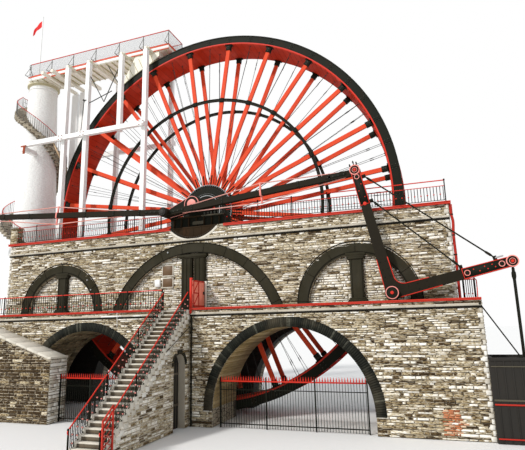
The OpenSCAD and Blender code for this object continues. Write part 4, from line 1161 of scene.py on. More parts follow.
class WW_OT_arch_stones(bpy.types.Operator):
    """Set slate wedges round the two lower arches front and rear, the blind arches at the rear and the stair's small
    arch
    """
    bl_idname = "waterwheel.arch_stones"
    bl_label = "Arch stones"

    def execute(self, context):
        rng = np.random.default_rng(31)
        ring_front = box_of("lower_arch_rings")[0][1]

        def set_stones(name, made):
            """One piece from the stones and tones of several arches."""
            parts, shades = zip(*made)
            add_piece(name, parts, "slate", shade=np.concatenate(shades))

        set_stones("front_voussoirs", [
            voussoirs(rng, s * ARCH_X, ARCH_Z, ARCH_R - 0.01, ARCH_R + RING_W, 0.0, math.pi, ring_front,
                      0.030, 0.10)
            for s in (-1, 1)])
        made = [voussoirs(rng, s * ARCH_X, ARCH_Z, ARCH_R, ARCH_R + RING_W, 0.0, math.pi, REAR_HIGH[1],
                          0.04, 0.14, 1.0)
                for s in (-1, 1)]
        for cx, cz, radius in BLIND_ARCHES:
            start = math.asin(max(0.0, (TERRACE_Z - cz) / (radius + RING_W)))
            made.append(voussoirs(rng, cx, cz, radius, radius + RING_W, start + 0.02,
                                  math.pi - start - 0.02,
                                  REAR_HIGH[1], 0.04, 0.18, 1.0))
        set_stones("rear_voussoirs", made)
        made = []
        for x, side in ((STAIR_LOW[0], -1), (STAIR_HIGH[0], 1)):
            (co, faces), shade = voussoirs(rng, SMALL_ARCH_Y, SMALL_ARCH_Z, SMALL_ARCH_R, 0.72, 0.0,
                                           math.pi, 0.0,
                                           0.03, 0.12, 1.0)
            turned = np.c_[x + side * co[:, 1], co[:, 0], co[:, 2]]
            made.append((outward((turned, faces)), shade))
        set_stones("stair_arch_stones", made)
        return {"FINISHED"}


def slab_row(rng, u0, u1, other, z0, z1, length, gap=0.008):
    """A row of coping slabs of uneven length between two ends."""
    runs = length * rng.uniform(0.8, 1.2, int((u1 - u0) / length * 1.6) + 3)
    edge = u0 + np.concatenate([[0], np.cumsum(runs)])
    edge = np.append(edge[edge < u1 - 0.3 * length], u1)
    low, high = edge[:-1] + gap / 2, edge[1:] - gap / 2
    rise = z1 + rng.uniform(-0.006, 0.0, len(low))
    return boxes(rows_at(low, other[0], z0), rows_at(high, other[1], rise))


class WW_OT_copings(bpy.types.Operator):
    """Lay the deck flags, the terrace flags, the string courses with dark strips under them as painted shadow, and the
    copings
    """
    bl_idname = "waterwheel.copings"
    bl_label = "Copings and flags"

    def execute(self, context):
        rng = np.random.default_rng(41)
        string, shadow = [], []
        for u0, u1 in ((wing_edge(5.2), STAIR_LOW[0] - 0.06), (STAIR_HIGH[0] + 0.06, TIER_HIGH[0])):
            string.append(slab_row(rng, u0, u1, (TIER_Y - 0.075, TIER_Y + 0.02), *LOWER_SLAB, 1.4))
            # a near-black strip under each string course: painted shadow
            shadow.append(boxes([u0, TIER_Y - 0.060, LOWER_DRIP[0]], [u1, TIER_Y + 0.02, LOWER_DRIP[1]]))
        upper = slab_row(rng, WALL_LOW[0], WALL_HIGH[0], (WALL_Y - 0.085, WALL_Y + 0.02), *UPPER_SLAB, 1.1)
        shadow.append(boxes([WALL_LOW[0], WALL_Y - 0.068, UPPER_DRIP[0]],
                            [WALL_HIGH[0], WALL_Y + 0.02, UPPER_DRIP[1]]))
        add_piece("string_slabs", string, "string_stone", bevel=0.008)
        add_piece("upper_string_slabs", [upper], "string_stone", bevel=0.008)
        add_piece("string_drips", shadow, "slate_line")
        flags = []
        for row in range(3):
            y = WALL_Y + 0.10 + row * 0.42
            for u0, u1 in ((WALL_LOW[0] + 0.02, -1.0), (1.0, WALL_HIGH[0] - 0.02)):
                flags.append(slab_row(rng, u0, u1, (y + 0.005, y + 0.415), DECK_Z - 0.01, DECK_Z + 0.03,
                                      0.7))
            y = REAR_LOW[1] + 0.06 + row * 0.43
            flags.append(slab_row(rng, REAR_LOW[0] + 0.02, REAR_HIGH[0] - 0.02, (y + 0.005, y + 0.425),
                                  DECK_Z - 0.01,
                                  DECK_Z + 0.03, 0.7))
        for y0, y1, u1 in ((-2.06, -1.62, TIER_HIGH[0] - 0.05), (-1.61, -1.44, 9.8), (-1.44, -1.08, 9.8),
                           (-1.07, -0.76, 9.8)):
            flags.append(slab_row(rng, TIER_LOW[0] + 0.05, u1, (y0, y1), 5.41, 5.455, 0.75))
        add_piece("floor_flags", flags, "tread_stone", bevel=0.006)
        slope = math.hypot(WING_RUN, WING_DROP)
        run = np.array([WING_RUN / slope, 0, -WING_DROP / slope])
        rise = np.array([WING_DROP / slope, 0, WING_RUN / slope])
        count = 9
        number = (np.arange(count) + 0.5)[:, None]
        middle = np.array([WING_END_X, TIER_Y - 0.64, 5.39]) + run * number * slope / count
        cope = [blocks(middle + rise * 0.055, run * (slope / count / 2 - 0.008), rise * 0.06,
                       -Y_AXIS * 0.62)]
        cope.append(boxes([-6.86, TIER_Y - 1.31, WING_PIER_Z], [-6.64, TIER_Y - 0.04, 3.27]))
        cope.append(arc_band(0.0, AXLE_Z, POCKET_R, POCKET_R + 0.12, WALL_Y - 0.045, WALL_Y + 0.03,
                             math.radians(222.5), math.radians(317.5), 40))
        add_piece("pale_copings", cope, "pale_coping", bevel=0.01)
        nose = []
        for low, high, y, z in ((WALL_LOW[0] - 0.11, -1.42, WALL_Y, DECK_Z),
                                (1.87, WALL_HIGH[0] + 0.11, WALL_Y, DECK_Z),
                                (TIER_LOW[0], STAIR_LOW[0] - 0.06, TIER_Y, FLOOR_Z),
                                (STAIR_HIGH[0] + 0.06, TIER_HIGH[0], TIER_Y, FLOOR_Z)):
            nose.append(rods([low, y - 0.11, z - 0.028], [high, y - 0.11, z - 0.028], 0.03, 10))
        add_piece("band_nosings", nose, "red_band", smooth=50)
        return {"FINISHED"}


# Wheel
def spoke_angles(offset=0.0):
    """The angles of the spokes, moved on by a share of the step between two."""
    return SPOKE_PHASE + (np.arange(SPOKES) + offset) * 2 * math.pi / SPOKES


def on_wheel(angles, radius, y):
    """Points at a radius and a plane, one for each angle."""
    return np.array([0.0, 0.0, AXLE_Z]) + rim_frame(angles)[0] * np.reshape(radius, (-1, 1)) + Y_AXIS * y


def radial_blocks(angles, r0, r1, width, y0, y1):
    """Plates along the radius: from r0 to r1, so wide, between two planes."""
    out, along = rim_frame(angles)
    return blocks(on_wheel(angles, (r0 + r1) / 2, (y0 + y1) / 2), out * (r1 - r0) / 2,
                  Y_AXIS * (y1 - y0) / 2,
                  -along * width / 2)


class WW_OT_wheel_edges(bpy.types.Operator):
    """Line the shrouds in red and set the iron shoes, joint plates and bolts of the rim"""
    bl_idname = "waterwheel.wheel_edges"
    bl_label = "Rim edges"

    def execute(self, context):
        red = [hoop(0, AXLE_Z, SOLE_R - 0.012, SOLE_R + 0.055, WHEEL_FRONT - 0.02, WHEEL_FRONT + 0.03),
               hoop(0, AXLE_Z, WHEEL_R - 0.03, WHEEL_R + 0.012, WHEEL_BACK - 0.08, WHEEL_BACK + 0.012)]
        flanges = []
        for name in ("front_mid_ring", "rear_mid_ring"):
            low, high = box_of(name)
            reach = (high[0] - low[0]) / 2
            flanges.append(hoop(0, AXLE_Z, reach - 0.014, reach + 0.010, low[1] - 0.035, high[1] + 0.035))
            flanges.append(hoop(0, AXLE_Z, reach - 0.160, reach - 0.136, low[1] - 0.035, high[1] + 0.035))
        add_piece("mid_ring_flanges", flanges, "black_iron", "wheel", smooth=30)
        for y in (REAR_SHROUD_LOW[1] - 0.012, SHROUD_HIGH[1] - 0.002):
            red.append(hoop(0, AXLE_Z, SOLE_R + 0.01, WHEEL_R - 0.006, y, y + 0.014))
        add_piece("rim_red_edges", red, "bright_red", "wheel", smooth=30)
        at, halfway = spoke_angles(), spoke_angles(0.5)
        iron = []
        for y, side in ((WHEEL_FRONT, -1.0), (WHEEL_BACK, 1.0)):
            near, far = sorted((y, y + 0.022 * side))
            iron.append(radial_blocks(np.r_[at, halfway], SOLE_R + 0.06, WHEEL_R - 0.02, 0.09, near, far))
            iron.append(hoop(0, AXLE_Z, WHEEL_R - 0.05, WHEEL_R + 0.012, near - 0.004, far + 0.004))
        add_piece("rim_joint_plates", iron, "black_iron", "wheel", smooth=30)
        shoe = []
        for y0, y1 in ((SPOKE_Y - 0.03, SPOKE_Y + SPOKE_T + 0.03), (SPOKE_BACK_Y - SPOKE_T - 0.03,
                                                                    SPOKE_BACK_Y + 0.03)):
            shoe.append(radial_blocks(at, SOLE_R - 0.40, SOLE_R - 0.012, SPOKE_W + 0.07, y0, y1))
            shoe.append(radial_blocks(at, SOLE_R - 0.10, SOLE_R - 0.012, SPOKE_W + 0.26, y0, y1))
        add_piece("spoke_shoes", shoe, "black_iron", "wheel", bevel=0.008)
        bolts = []
        for y, side in ((WHEEL_FRONT - 0.022, -1.0), (WHEEL_BACK + 0.022, 1.0)):
            for shift in (-0.045, 0.045):
                for radius in (SOLE_R + 0.16, SOLE_R + 0.34):
                    angles = np.r_[at, halfway] + shift * 2.4 / WHEEL_R
                    bolts.append(studs(on_wheel(angles, radius, y), Y_AXIS * side, 0.03, 0.022, 6))
        for y, side in ((SPOKE_Y - 0.03, -1.0), (SPOKE_BACK_Y + 0.03, 1.0)):
            for radius in (SOLE_R - 0.32, SOLE_R - 0.18):
                bolts.append(studs(on_wheel(at, radius, y), Y_AXIS * side, 0.032, 0.022, 6))
        add_piece("rim_bolts", bolts, "grey_iron", "wheel")
        return {"FINISHED"}


class WW_OT_wheel_centre(bpy.types.Operator):
    """Dress the hub discs: flats over the spokes, bolt circles, rings, a pale hoop of painted highlight on the disc's
    rim, keys and the middle rings' clamps
    """
    bl_idname = "waterwheel.wheel_centre"
    bl_label = "Hub and rings"

    def execute(self, context):
        at = spoke_angles()
        iron, keys, bolts, pale = [], [], [], []
        front_boss, back_boss = HUB_FRONT, box_of("rear_hub")[1][1]
        disc_front = SPOKE_Y - 0.07
        for y, side in ((SPOKE_Y, -1.0), (SPOKE_BACK_Y, 1.0)):
            face = y + side * 0.07
            near, far = sorted((y, y + 0.024 * side))
            iron.append(radial_blocks(at, HUB_R - 0.05, HUB_R + 0.62, 0.062, near, far))
            iron.append(hoop(0, AXLE_Z, HUB_R - 0.10, HUB_R + 0.004, *sorted((face, y)), 96))
            for radius in (HUB_R + 0.45, HUB_R + 0.18):
                bolts.append(studs(on_wheel(at, radius, y + 0.024 * side), Y_AXIS * side, 0.026, 0.03, 6))
            ring = np.arange(48) * 2 * math.pi / 48 + SPOKE_PHASE
            for radius in (HUB_R - 0.20, HUB_R - 0.42):
                bolts.append(studs(on_wheel(ring, radius, y - 0.004 * side), Y_AXIS * side, 0.035, 0.08, 6))
            iron.append(radial_blocks(at, RING_MEAN_R - 0.13, RING_MEAN_R + 0.13, SPOKE_W + 0.05,
                                      *sorted((y - 0.02 * side, y + 0.05 * side))))
            for shift in (0.085 / RING_MEAN_R, -0.085 / RING_MEAN_R):
                bolts.append(studs(on_wheel(at + shift, RING_MEAN_R, y + 0.05 * side), Y_AXIS * side, 0.025,
                                   0.03, 6))
        for y, side in ((front_boss, -1.0), (back_boss, 1.0)):
            near, far = sorted((y, y + 0.02 * side))
            pale.append(hoop(0, AXLE_Z, BOSS_R - 0.035, BOSS_R + 0.004, near, far, 96))
            eighth = np.arange(8) * math.pi / 4 + 0.2
            keys.append(radial_blocks(eighth, 0.36, 0.60, 0.075, near, far))
            iron.append(radial_blocks(eighth + math.pi / 8, 0.34, 0.80, 0.14, near, far))
            iron.append(hoop(0, AXLE_Z, 0.66, 0.76, near, far, 72))
        # a pale hoop on the rim of the hub disc: painted highlight
        pale.append(hoop(0, AXLE_Z, HUB_R - 0.014, HUB_R + 0.012, disc_front - 0.012, disc_front + 0.01,
                         120))
        add_piece("hub_plates", iron, "black_iron", "wheel")
        add_piece("hub_bolts", bolts, "grey_iron", "wheel")
        add_piece("hub_keys", keys, "bright_red", "wheel")
        add_piece("hub_pale_rings", pale, "wire_grey", "wheel", smooth=30)
        return {"FINISHED"}


class WW_OT_wheel_rods(bpy.types.Operator):
    """Stretch the thin round rods from the hub to the rim, each with its screw coupling"""
    bl_idname = "waterwheel.wheel_rods"
    bl_label = "Wheel rods"

    def execute(self, context):
        halfway = spoke_angles(0.5)
        parts = []
        coupling = [[0.014, 0.0], [0.024, 0.04], [0.024, 0.22], [0.014, 0.26]]
        foot = [[0.05, 0.0], [0.05, 0.03], [0.02, 0.06]]
        low, high = box_of("wheel_tie_rods")
        front, back = low[1] + 0.02, high[1] - 0.02
        deep = (front + back) / 2
        for y0, y1, turn in ((front, front, 0.0), (back, back, 0.0), (front, deep, 0.034),
                             (back, deep, -0.034)):
            start = on_wheel(halfway + 0.4 * turn, BOSS_R - 0.004, y0)
            end = on_wheel(halfway + turn, SOLE_R - 0.03, y1)
            parts.append(rods(start, end, 0.0125, 6))
            way = end - start
            parts.append(lathes(start + way * 0.905, way, coupling, 6))
            parts.append(lathes(end, -way, foot, 6))
        add_piece("wheel_round_rods", parts, "rod_iron", "wheel", smooth=50, replaces=("wheel_tie_rods",))
        return {"FINISHED"}


# Rods and bell crank
def in_plane(point, y):
    """A place in the plane of the wall as a point at depth y."""
    return np.array([point[0], y, point[1]])


def face_disc(point, y, side, rings):
    """Flat turned rings (radius in, radius out, height, part list) on a face at depth y."""
    for r_in, r_out, height, part_list in rings:
        near, far = sorted((y, y + side * height))
        if r_in > 0:
            part_list.append(hoop(point[0], point[1], r_in, r_out, near, far, 40))
        else:
            part_list.append(lathes(in_plane(point, y), Y_AXIS * side,
                                    [[r_out, -0.002], [r_out, height * 0.8], [r_out * 0.85, height]], 28))


def edge_strips(points, y0, y1, thick=0.03):
    """Strips that follow a line of plane points: thin across the line, as deep as from y0 to y1."""
    points = np.asarray(points, float)
    line = rows_at(points[:, 0], (y0 + y1) / 2, points[:, 1])
    a, b = line[:-1], line[1:]
    way = unit(b - a)
    across = np.cross(way, Y_AXIS)
    reach = (b - a) / 2 + way * thick * 0.3
    return blocks((a + b) / 2, reach, np.broadcast_to(Y_AXIS * (y1 - y0) / 2, a.shape), across * thick / 2)


class WW_OT_crank_and_rods(bpy.types.Operator):
    """Give the crank a pale axle end and a painted highlight round its boss and along its arm, and the timber rods
    their straps, bolts and pale truss rods
    """
    bl_idname = "waterwheel.crank_and_rods"
    bl_label = "Crank and rods"

    def execute(self, context):
        face = box_of("axle")[0][1]
        pale = []
        axle = np.array([0.0, AXLE_Z])
        pale.append(lathes(in_plane(axle, face + 0.01), -Y_AXIS, [[0.262, 0.0], [0.262, 0.022],
                                                                  [0.24, 0.03]], 40))
        # a pale hoop round the boss and pale strips along the arm's edges: painted highlight
        pale.append(hoop(0, AXLE_Z, 0.405, 0.437, face - 0.012, face + 0.05, 64))
        way = (PIN - axle) / np.linalg.norm(PIN - axle)
        over = np.array([-way[1], way[0]])
        for s in (-1, 1):
            a = axle + way * 0.10 + s * over * 0.415
            b = PIN - way * 0.02 + s * over * 0.243
            pale.append(edge_strips([a, b], face - 0.010, face + 0.02, 0.022))
        add_piece("crank_outline", pale, "pale_red", "wheel", smooth=40)
        collar = [lathes(in_plane(PIN, box_of("main_rod")[0][1] - 0.058), -Y_AXIS,
                         [[0.13, 0.0], [0.13, 0.03], [0.10, 0.05], [0.05, 0.055]], 24)]
        add_piece("crank_pin_end", collar, "rod_iron", "wheel", smooth=40)

        def dress(start, end, y, half, rod_half, queen, spread, seams, lip, bolt):
            """Straps, fish plates and bolts on one rod, with its queen post and truss rods. The plates stand
            proud by lip and the bolt heads by bolt: low on the rod between the crank and the bell crank."""
            way = (end - start) / np.linalg.norm(end - start)
            over = np.array([-way[1], way[0]])
            length = np.linalg.norm(end - start)
            plates, heads, trusses, posts = [], [], [], []
            along3, over3 = np.array([way[0], 0, way[1]]), np.array([over[0], 0, over[1]])
            for s in seams:
                mid = in_plane(start + way * s, y)
                plates.append(blocks(mid, along3 * 0.06, over3 * (rod_half + 0.014),
                                     np.cross(along3, over3) * (half + lip)))
            for s in (0.62, length - 0.98):
                mid = in_plane(start + way * s, y)
                plates.append(blocks(mid, along3 * 0.52, over3 * 0.075,
                                     np.cross(along3, over3) * (half + lip)))
                for k in (-0.4, -0.13, 0.13, 0.4):
                    heads.append(nuts(mid + along3 * k - Y_AXIS * (half + lip), -Y_AXIS, 0.034, bolt))
            for s in seams:
                for k in (-1, 1):
                    heads.append(nuts(in_plane(start + way * s + over * k * rod_half * 0.5,
                                               y) - Y_AXIS * (half + lip),
                                      -Y_AXIS, 0.026, bolt))
            for k in (-1, 1):
                mast = start + way * queen + over * k * 0.53
                for s in (queen - spread[0], queen + spread[1]):
                    foot = start + way * s + over * k * rod_half * 0.96
                    trusses.append(rods(in_plane(foot, y), in_plane(mast, y), 0.030, 8))
                    trusses.append(nuts(in_plane(mast, y), in_plane(mast - foot, 0) * np.array([1, 0, 1]),
                                        0.045, 0.06))
                posts.append(bars(in_plane(start + way * queen + over * k * (rod_half + 0.002), y),
                                  in_plane(mast + over * k * 0.035, y),
                                  0.085, 0.085, Y_AXIS))
            posts.append(blocks(in_plane(start + way * queen, y), along3 * 0.05, over3 * (rod_half + 0.02),
                                np.cross(along3, over3) * (half + lip)))
            return plates, heads, trusses, posts

        rise = math.radians(4.2)
        main_end = PIN + 15.53 * np.array([-math.cos(rise), math.sin(rise)])
        for prefix, end, y, queen, spread, seams, lip, bolt in (
                ("connecting_rod", BELL_TOP, CON_Y, 5.57, (4.6, 4.4), (1.6, 3.4, 7.6, 9.2), 0.012, 0.010),
                ("main_rod", main_end, ROD_Y, 7.3, (4.6, 5.8), (1.5, 3.2, 5.2, 9.4, 11.4, 13.4), 0.018,
                 0.028)):
            low, high = box_of(prefix)
            body = prefix + "_body"
            plates, heads, trusses, posts = dress(PIN, end, y, (high[1] - low[1]) / 2, 0.15, queen, spread,
                                                  seams, lip,
                                                  bolt)
            add_piece(prefix + "_straps", plates, "black_iron", body, bevel=0.004)
            add_piece(prefix + "_nuts", heads, "grey_iron", body)
            add_piece(prefix + "_truss", trusses, "pale_rod", body, smooth=40)
            add_piece(prefix + "_queen_post", posts, "pale_red", body, bevel=0.006)
        return {"FINISHED"}


class WW_OT_bell_crank(bpy.types.Operator):
    """Plate the bell crank: red edges, ringed bosses, rivets, and the fittings of its stays"""
    bl_idname = "waterwheel.bell_crank"
    bl_label = "Bell crank"

    def execute(self, context):
        half = 0.115
        front, back = BELL_Y - half, BELL_Y + half
        red, plates, rings, centres, heads = [], [], [], [], []

        def up(s, off=0.0):
            """A place on the arm that stands up."""
            return BELL + s * UP_WAY + off * OUT_WAY

        def out(s, off=0.0):
            """A place on the arm that reaches out."""
            return BELL + s * OUT_WAY + off * UP_WAY

        arm = lambda s, length: 0.96 * (0.272 + (0.204 - 0.272) * s / length)
        deep0, deep1 = front - 0.019, back + 0.019
        for way, length, s0, s1 in ((up, BELL_UP, 4.25, BELL_UP - 0.15),
                                    (out, BELL_OUT, 3.05, BELL_OUT - 0.15)):
            for k in (-1, 1):
                a, b = way(s0, k * arm(s0, length)), way(s1, k * arm(s1, length))
                red.append(edge_strips([a, b], deep0, deep1, 0.034))
            for y in (front - 0.007, back + 0.007):
                corners = np.array([way(s, k * (arm(s, length) - 0.01)) for s,
                                    k in ((s0, -1), (s1, -1), (s1, 1), (s0, 1))])
                co = np.array([[c[0], y + d, c[1]] for d in (-0.007, 0.007) for c in corners])
                plates.append((co,
                               [np.array([[0, 1, 2, 3], [7, 6, 5, 4], [0, 4, 5, 1], [1, 5, 6, 2],
                                          [2, 6, 7, 3],
                                              [3, 7, 4, 0]])]))
            red.append(edge_strips([way(s0, -arm(s0, length)), way(s0, arm(s0, length))], deep0, front,
                                   0.026))
        # the bracket at the elbow, with its round inner corner
        fillet = BELL + 0.70 * OUT_WAY + 0.70 * UP_WAY
        turn = np.linspace(math.pi, 1.5 * math.pi, 10)
        curve = [fillet + 0.44 * (math.cos(t) * OUT_WAY + math.sin(t) * UP_WAY) for t in turn]
        inner = [up(1.60, arm(1.6, BELL_UP))] + curve + [out(1.67, arm(1.67, BELL_OUT))]
        red.append(edge_strips(inner, deep0, deep1, 0.034))
        red.append(edge_strips([up(1.60, -arm(1.6, BELL_UP)), up(0.22, -arm(0.22, BELL_UP) - 0.01)], deep0,
                               deep1, 0.034))
        red.append(edge_strips([out(0.30, -arm(0.3, BELL_OUT) - 0.01), out(2.10, -arm(2.1, BELL_OUT))],
                               deep0, deep1, 0.034))
        add_piece("bell_crank_red_edges", red, "bright_red", "bell_crank_body", bevel=0.004)
        add_piece("bell_crank_plates", plates, "black_iron", "bell_crank_body")
        for face, side in ((front, -1.0), (back, 1.0)):
            lift = face + side * 0.016
            for centre, size in ((BELL_TOP, 0.24), (BELL_END, 0.24), (BELL, 0.34)):
                if size > 0.3:
                    lift_here = BELL_Y + side * (half + 0.025 + 0.16)
                    face_disc(centre, lift_here, side,
                              [(0.25, 0.285, 0.03, rings), (0.0, 0.25, 0.018, heads),
                               (0.0, 0.075, 0.052, centres)])
                    continue
                tall = 0.030 if side < 0 else 0.014
                face_disc(centre, lift, side, [(size - 0.035, size + 0.008, tall, rings),
                                               (0.0, size - 0.035, tall * 0.67, heads),
                                               (0.0, 0.065, tall * 1.4 if side < 0 else tall, centres)])
                rings.append(hoop(centre[0], centre[1], 0.105, 0.125,
                                  *sorted((lift, lift + side * tall * 0.87)), 32))
            for centre in (up(BELL_UP - 0.36), out(4.62), out(3.22)):
                rings.append(hoop(centre[0], centre[1], 0.095, 0.125, *sorted((face, face + side * 0.0195)),
                                  28))
                heads.append(lathes(in_plane(centre, face), Y_AXIS * side,
                                    [[0.07, 0.0], [0.07, 0.015], [0.03, 0.019]], 16))
            face_disc(up(4.28), face, side, [(0.0, 0.085, 0.028, centres)])
            dots = [out(s, off) for s, off in ((3.50, 0.08), (3.95, 0.08), (4.25, 0.08), (3.72, -0.05),
                                               (4.05, -0.05), (4.35, -0.05))]
            dots += [up(s, off) for s, off in ((4.6, 0.09), (4.95, -0.09), (5.25, 0.09))]
            centres.append(studs(np.array([in_plane(d, face + side * 0.008) for d in dots]), Y_AXIS * side,
                                 0.030, 0.011, 10))
            bracket = [up(s, off) for s in (0.75, 1.1, 1.45) for off in (-0.12, 0.12)]
            bracket += [out(s, off) for s in (0.75, 1.15, 1.55) for off in (-0.12, 0.12)]
            heads.append(studs(np.array([in_plane(d, face) for d in bracket]), Y_AXIS * side, 0.030, 0.02,
                               8))
        add_piece("bell_crank_rings", rings, "pale_red", "bell_crank_body", smooth=40)
        add_piece("bell_crank_bosses", heads, "black_iron", "bell_crank_body", smooth=40)
        add_piece("bell_crank_centres", centres, "bright_red", "bell_crank_body", smooth=40)
        fittings = []
        for s_up, s_out in ((5.60, 4.45), (4.35, 3.05)):
            a, b = up(s_up, 0.33), out(s_out, 0.33)
            way = (b - a) / np.linalg.norm(b - a)
            for start, sense in ((a, 1), (b, -1)):
                p = start + way * sense * 0.16
                fittings.append(lathes(in_plane(p, BELL_Y), sense * in_plane(way, 0) * np.array([1, 0, 1]),
                                       [[0.050, 0.0], [0.055, 0.05], [0.055, 0.22], [0.036, 0.30]], 8))
                fittings.append(nuts(in_plane(start, BELL_Y - 0.068), -Y_AXIS, 0.045, 0.03))
                fittings.append(nuts(in_plane(start, BELL_Y + 0.068), Y_AXIS, 0.045, 0.03))
        add_piece("bell_stay_fittings", fittings, "black_iron", "bell_crank_body", smooth=40)
        pale_end = [lathes(in_plane(out(4.45, 0.33) - 0.02 * UP_WAY, BELL_Y - 0.09),
                           in_plane(OUT_WAY, 0) * np.array([1, 0, 1]),
                           [[0.030, 0.0], [0.034, 0.04], [0.034, 0.30], [0.02, 0.33]], 8)]
        add_piece("bell_stay_pale_end", pale_end, "wire_grey", "bell_crank_body", smooth=40)
        x = BELL_END[0]
        hang = [lathes([x, BELL_Y, BELL_END[1] - 0.42], -Z_AXIS, [[0.066, 0.0], [0.09, 0.06], [0.09, 0.22],
                                                                  [0.062, 0.34]], 10),
                rods([x, BELL_Y - 0.09, BELL_END[1] - 0.15], [x, BELL_Y - 0.09, BELL_END[1] - 0.45], 0.028,
                     8)]
        add_piece("hanging_rod_fork", hang, "black_iron", "hanging_rod_body", smooth=40)
        return {"FINISHED"}


# Railings
def rail_parts(a, b, height, pitch=0.14, post_pitch=1.9, second=0.74, foot=0.09, boss=0.36, boss_every=2):
    """A straight railing over the line a to b: rails parallel to the line at shares of the height, upright
    bars, posts with turned tops and round bosses. Returns rails, bars and posts, bosses."""
    a, b = np.asarray(a, float), np.asarray(b, float)
    run = b - a
    length = np.linalg.norm(run)
    rails = [rods(a + Z_AXIS * height, b + Z_AXIS * height, 0.027, 8)]
    if second:
        rails.append(rods(a + Z_AXIS * height * second, b + Z_AXIS * height * second, 0.018, 6))
    count = max(2, int(length / pitch))
    at = a + run * ((np.arange(count) + 0.5) / count)[:, None]
    top = height * (second or 1.0)
    irons = [rods(at + Z_AXIS * foot, at + Z_AXIS * top, 0.017, 5),
             rods(a + Z_AXIS * foot, b + Z_AXIS * foot, 0.016, 6)]
    posts = max(1, round(length / post_pitch))
    stand = a + run * (np.arange(posts + 1) / posts)[:, None]
    irons.append(rods(stand, stand + Z_AXIS * height, 0.026, 8))
    irons.append(lathes(stand + Z_AXIS * (height - 0.02), Z_AXIS,
                        [[0.030, 0.0], [0.042, 0.03], [0.042, 0.05], [0.028, 0.08], [0.008, 0.09]], 8))
    irons.append(lathes(stand, Z_AXIS, [[0.06, 0.0], [0.06, 0.015], [0.03, 0.04]], 8))
    bosses = [lathes(at[::boss_every] + Z_AXIS * height * boss - Z_AXIS * 0.034, Z_AXIS,
                     [[0.010, 0.0], [0.034, 0.018], [0.038, 0.034], [0.034, 0.05], [0.010, 0.068]], 8)]
    return rails, irons, bosses


def scroll_parts(a, b, height, count, radius=0.085):
    """Pairs of open iron scrolls between the bars of a railing: rings in the railing's own plane."""
    a, b = np.asarray(a, float), np.asarray(b, float)
    run = unit(b - a)[0]
    rings = []
    for share in (0.30, 0.62):
        for k in range(count):
            centre = a + (b - a) * (k + 1.0) / (count + 1) + Z_AXIS * height * share
            t = np.linspace(0.3, 2 * math.pi + 0.3, 13)[:-1, None]
            out = np.cos(t) * run + np.sin(t) * Z_AXIS
            rings.append(carried(centre + radius * out, circle_section(0.009, 4), out,
                                 np.cross(run, Z_AXIS),
                                 closed=True))
    return rings


class WW_OT_deck_railings(bpy.types.Operator):
    """Railings of the deck and the terrace: red rails, black bars and a row of red bosses"""
    bl_idname = "waterwheel.deck_railings"
    bl_label = "Deck and terrace railings"

    def execute(self, context):
        low, high = box_of("deck_railing")
        y = (low[1] + high[1]) / 2
        rails, irons, bosses = [], [], []
        tall = high[2] - DECK_Z
        for x0, x1 in ((low[0], -POCKET_R - 0.06), (1.91, high[0])):
            made = rail_parts([x0 + 0.03, y, DECK_Z], [x1 - 0.03, y, DECK_Z], tall)
            for kept, new in zip((rails, irons, bosses), made):
                kept.extend(new)
        add_piece("deck_rails", rails, "bright_red", smooth=40)
        add_piece("deck_bars", irons, "black_iron", smooth=40, replaces=("deck_railing",))
        add_piece("deck_bosses", bosses, "bright_red", smooth=40)
        low, high = box_of("terrace_railing")
        y = TIER_Y - 0.03
        tall = high[2] - FLOOR_Z
        made = rail_parts([low[0] + 0.03, y, FLOOR_Z], [STAIR_LOW[0] - 0.03, y, FLOOR_Z], tall, 0.15, 2.1,
                          0, 0.08, 0.34, 2)
        end_y = WALL_Y + 0.06
        short = rail_parts([13.32, end_y, FLOOR_Z - 0.1], [high[0] - 0.03, end_y, FLOOR_Z - 0.1], tall,
                           0.075, 2.0, 0, 0.08,
                           0.34, 2)
        turned = tube(smooth_path([[high[0] - 0.03, end_y, FLOOR_Z - 0.1 + tall],
                                   [high[0] + 0.03, end_y - 0.2, FLOOR_Z + tall - 0.16],
                                   [high[0] + 0.02, end_y - 0.42, FLOOR_Z + tall - 0.45],
                                   [high[0], end_y - 0.46, FLOOR_Z - 0.08]],
                                  14), 0.022, 8)
        add_piece("terrace_rails", made[0] + short[0] + [turned], "bright_red", smooth=40)
        add_piece("terrace_bars", made[1] + short[1], "black_iron", smooth=40,
                  replaces=("terrace_railing",))
        add_piece("terrace_bosses", made[2] + short[2], "bright_red", smooth=40)
        return {"FINISHED"}


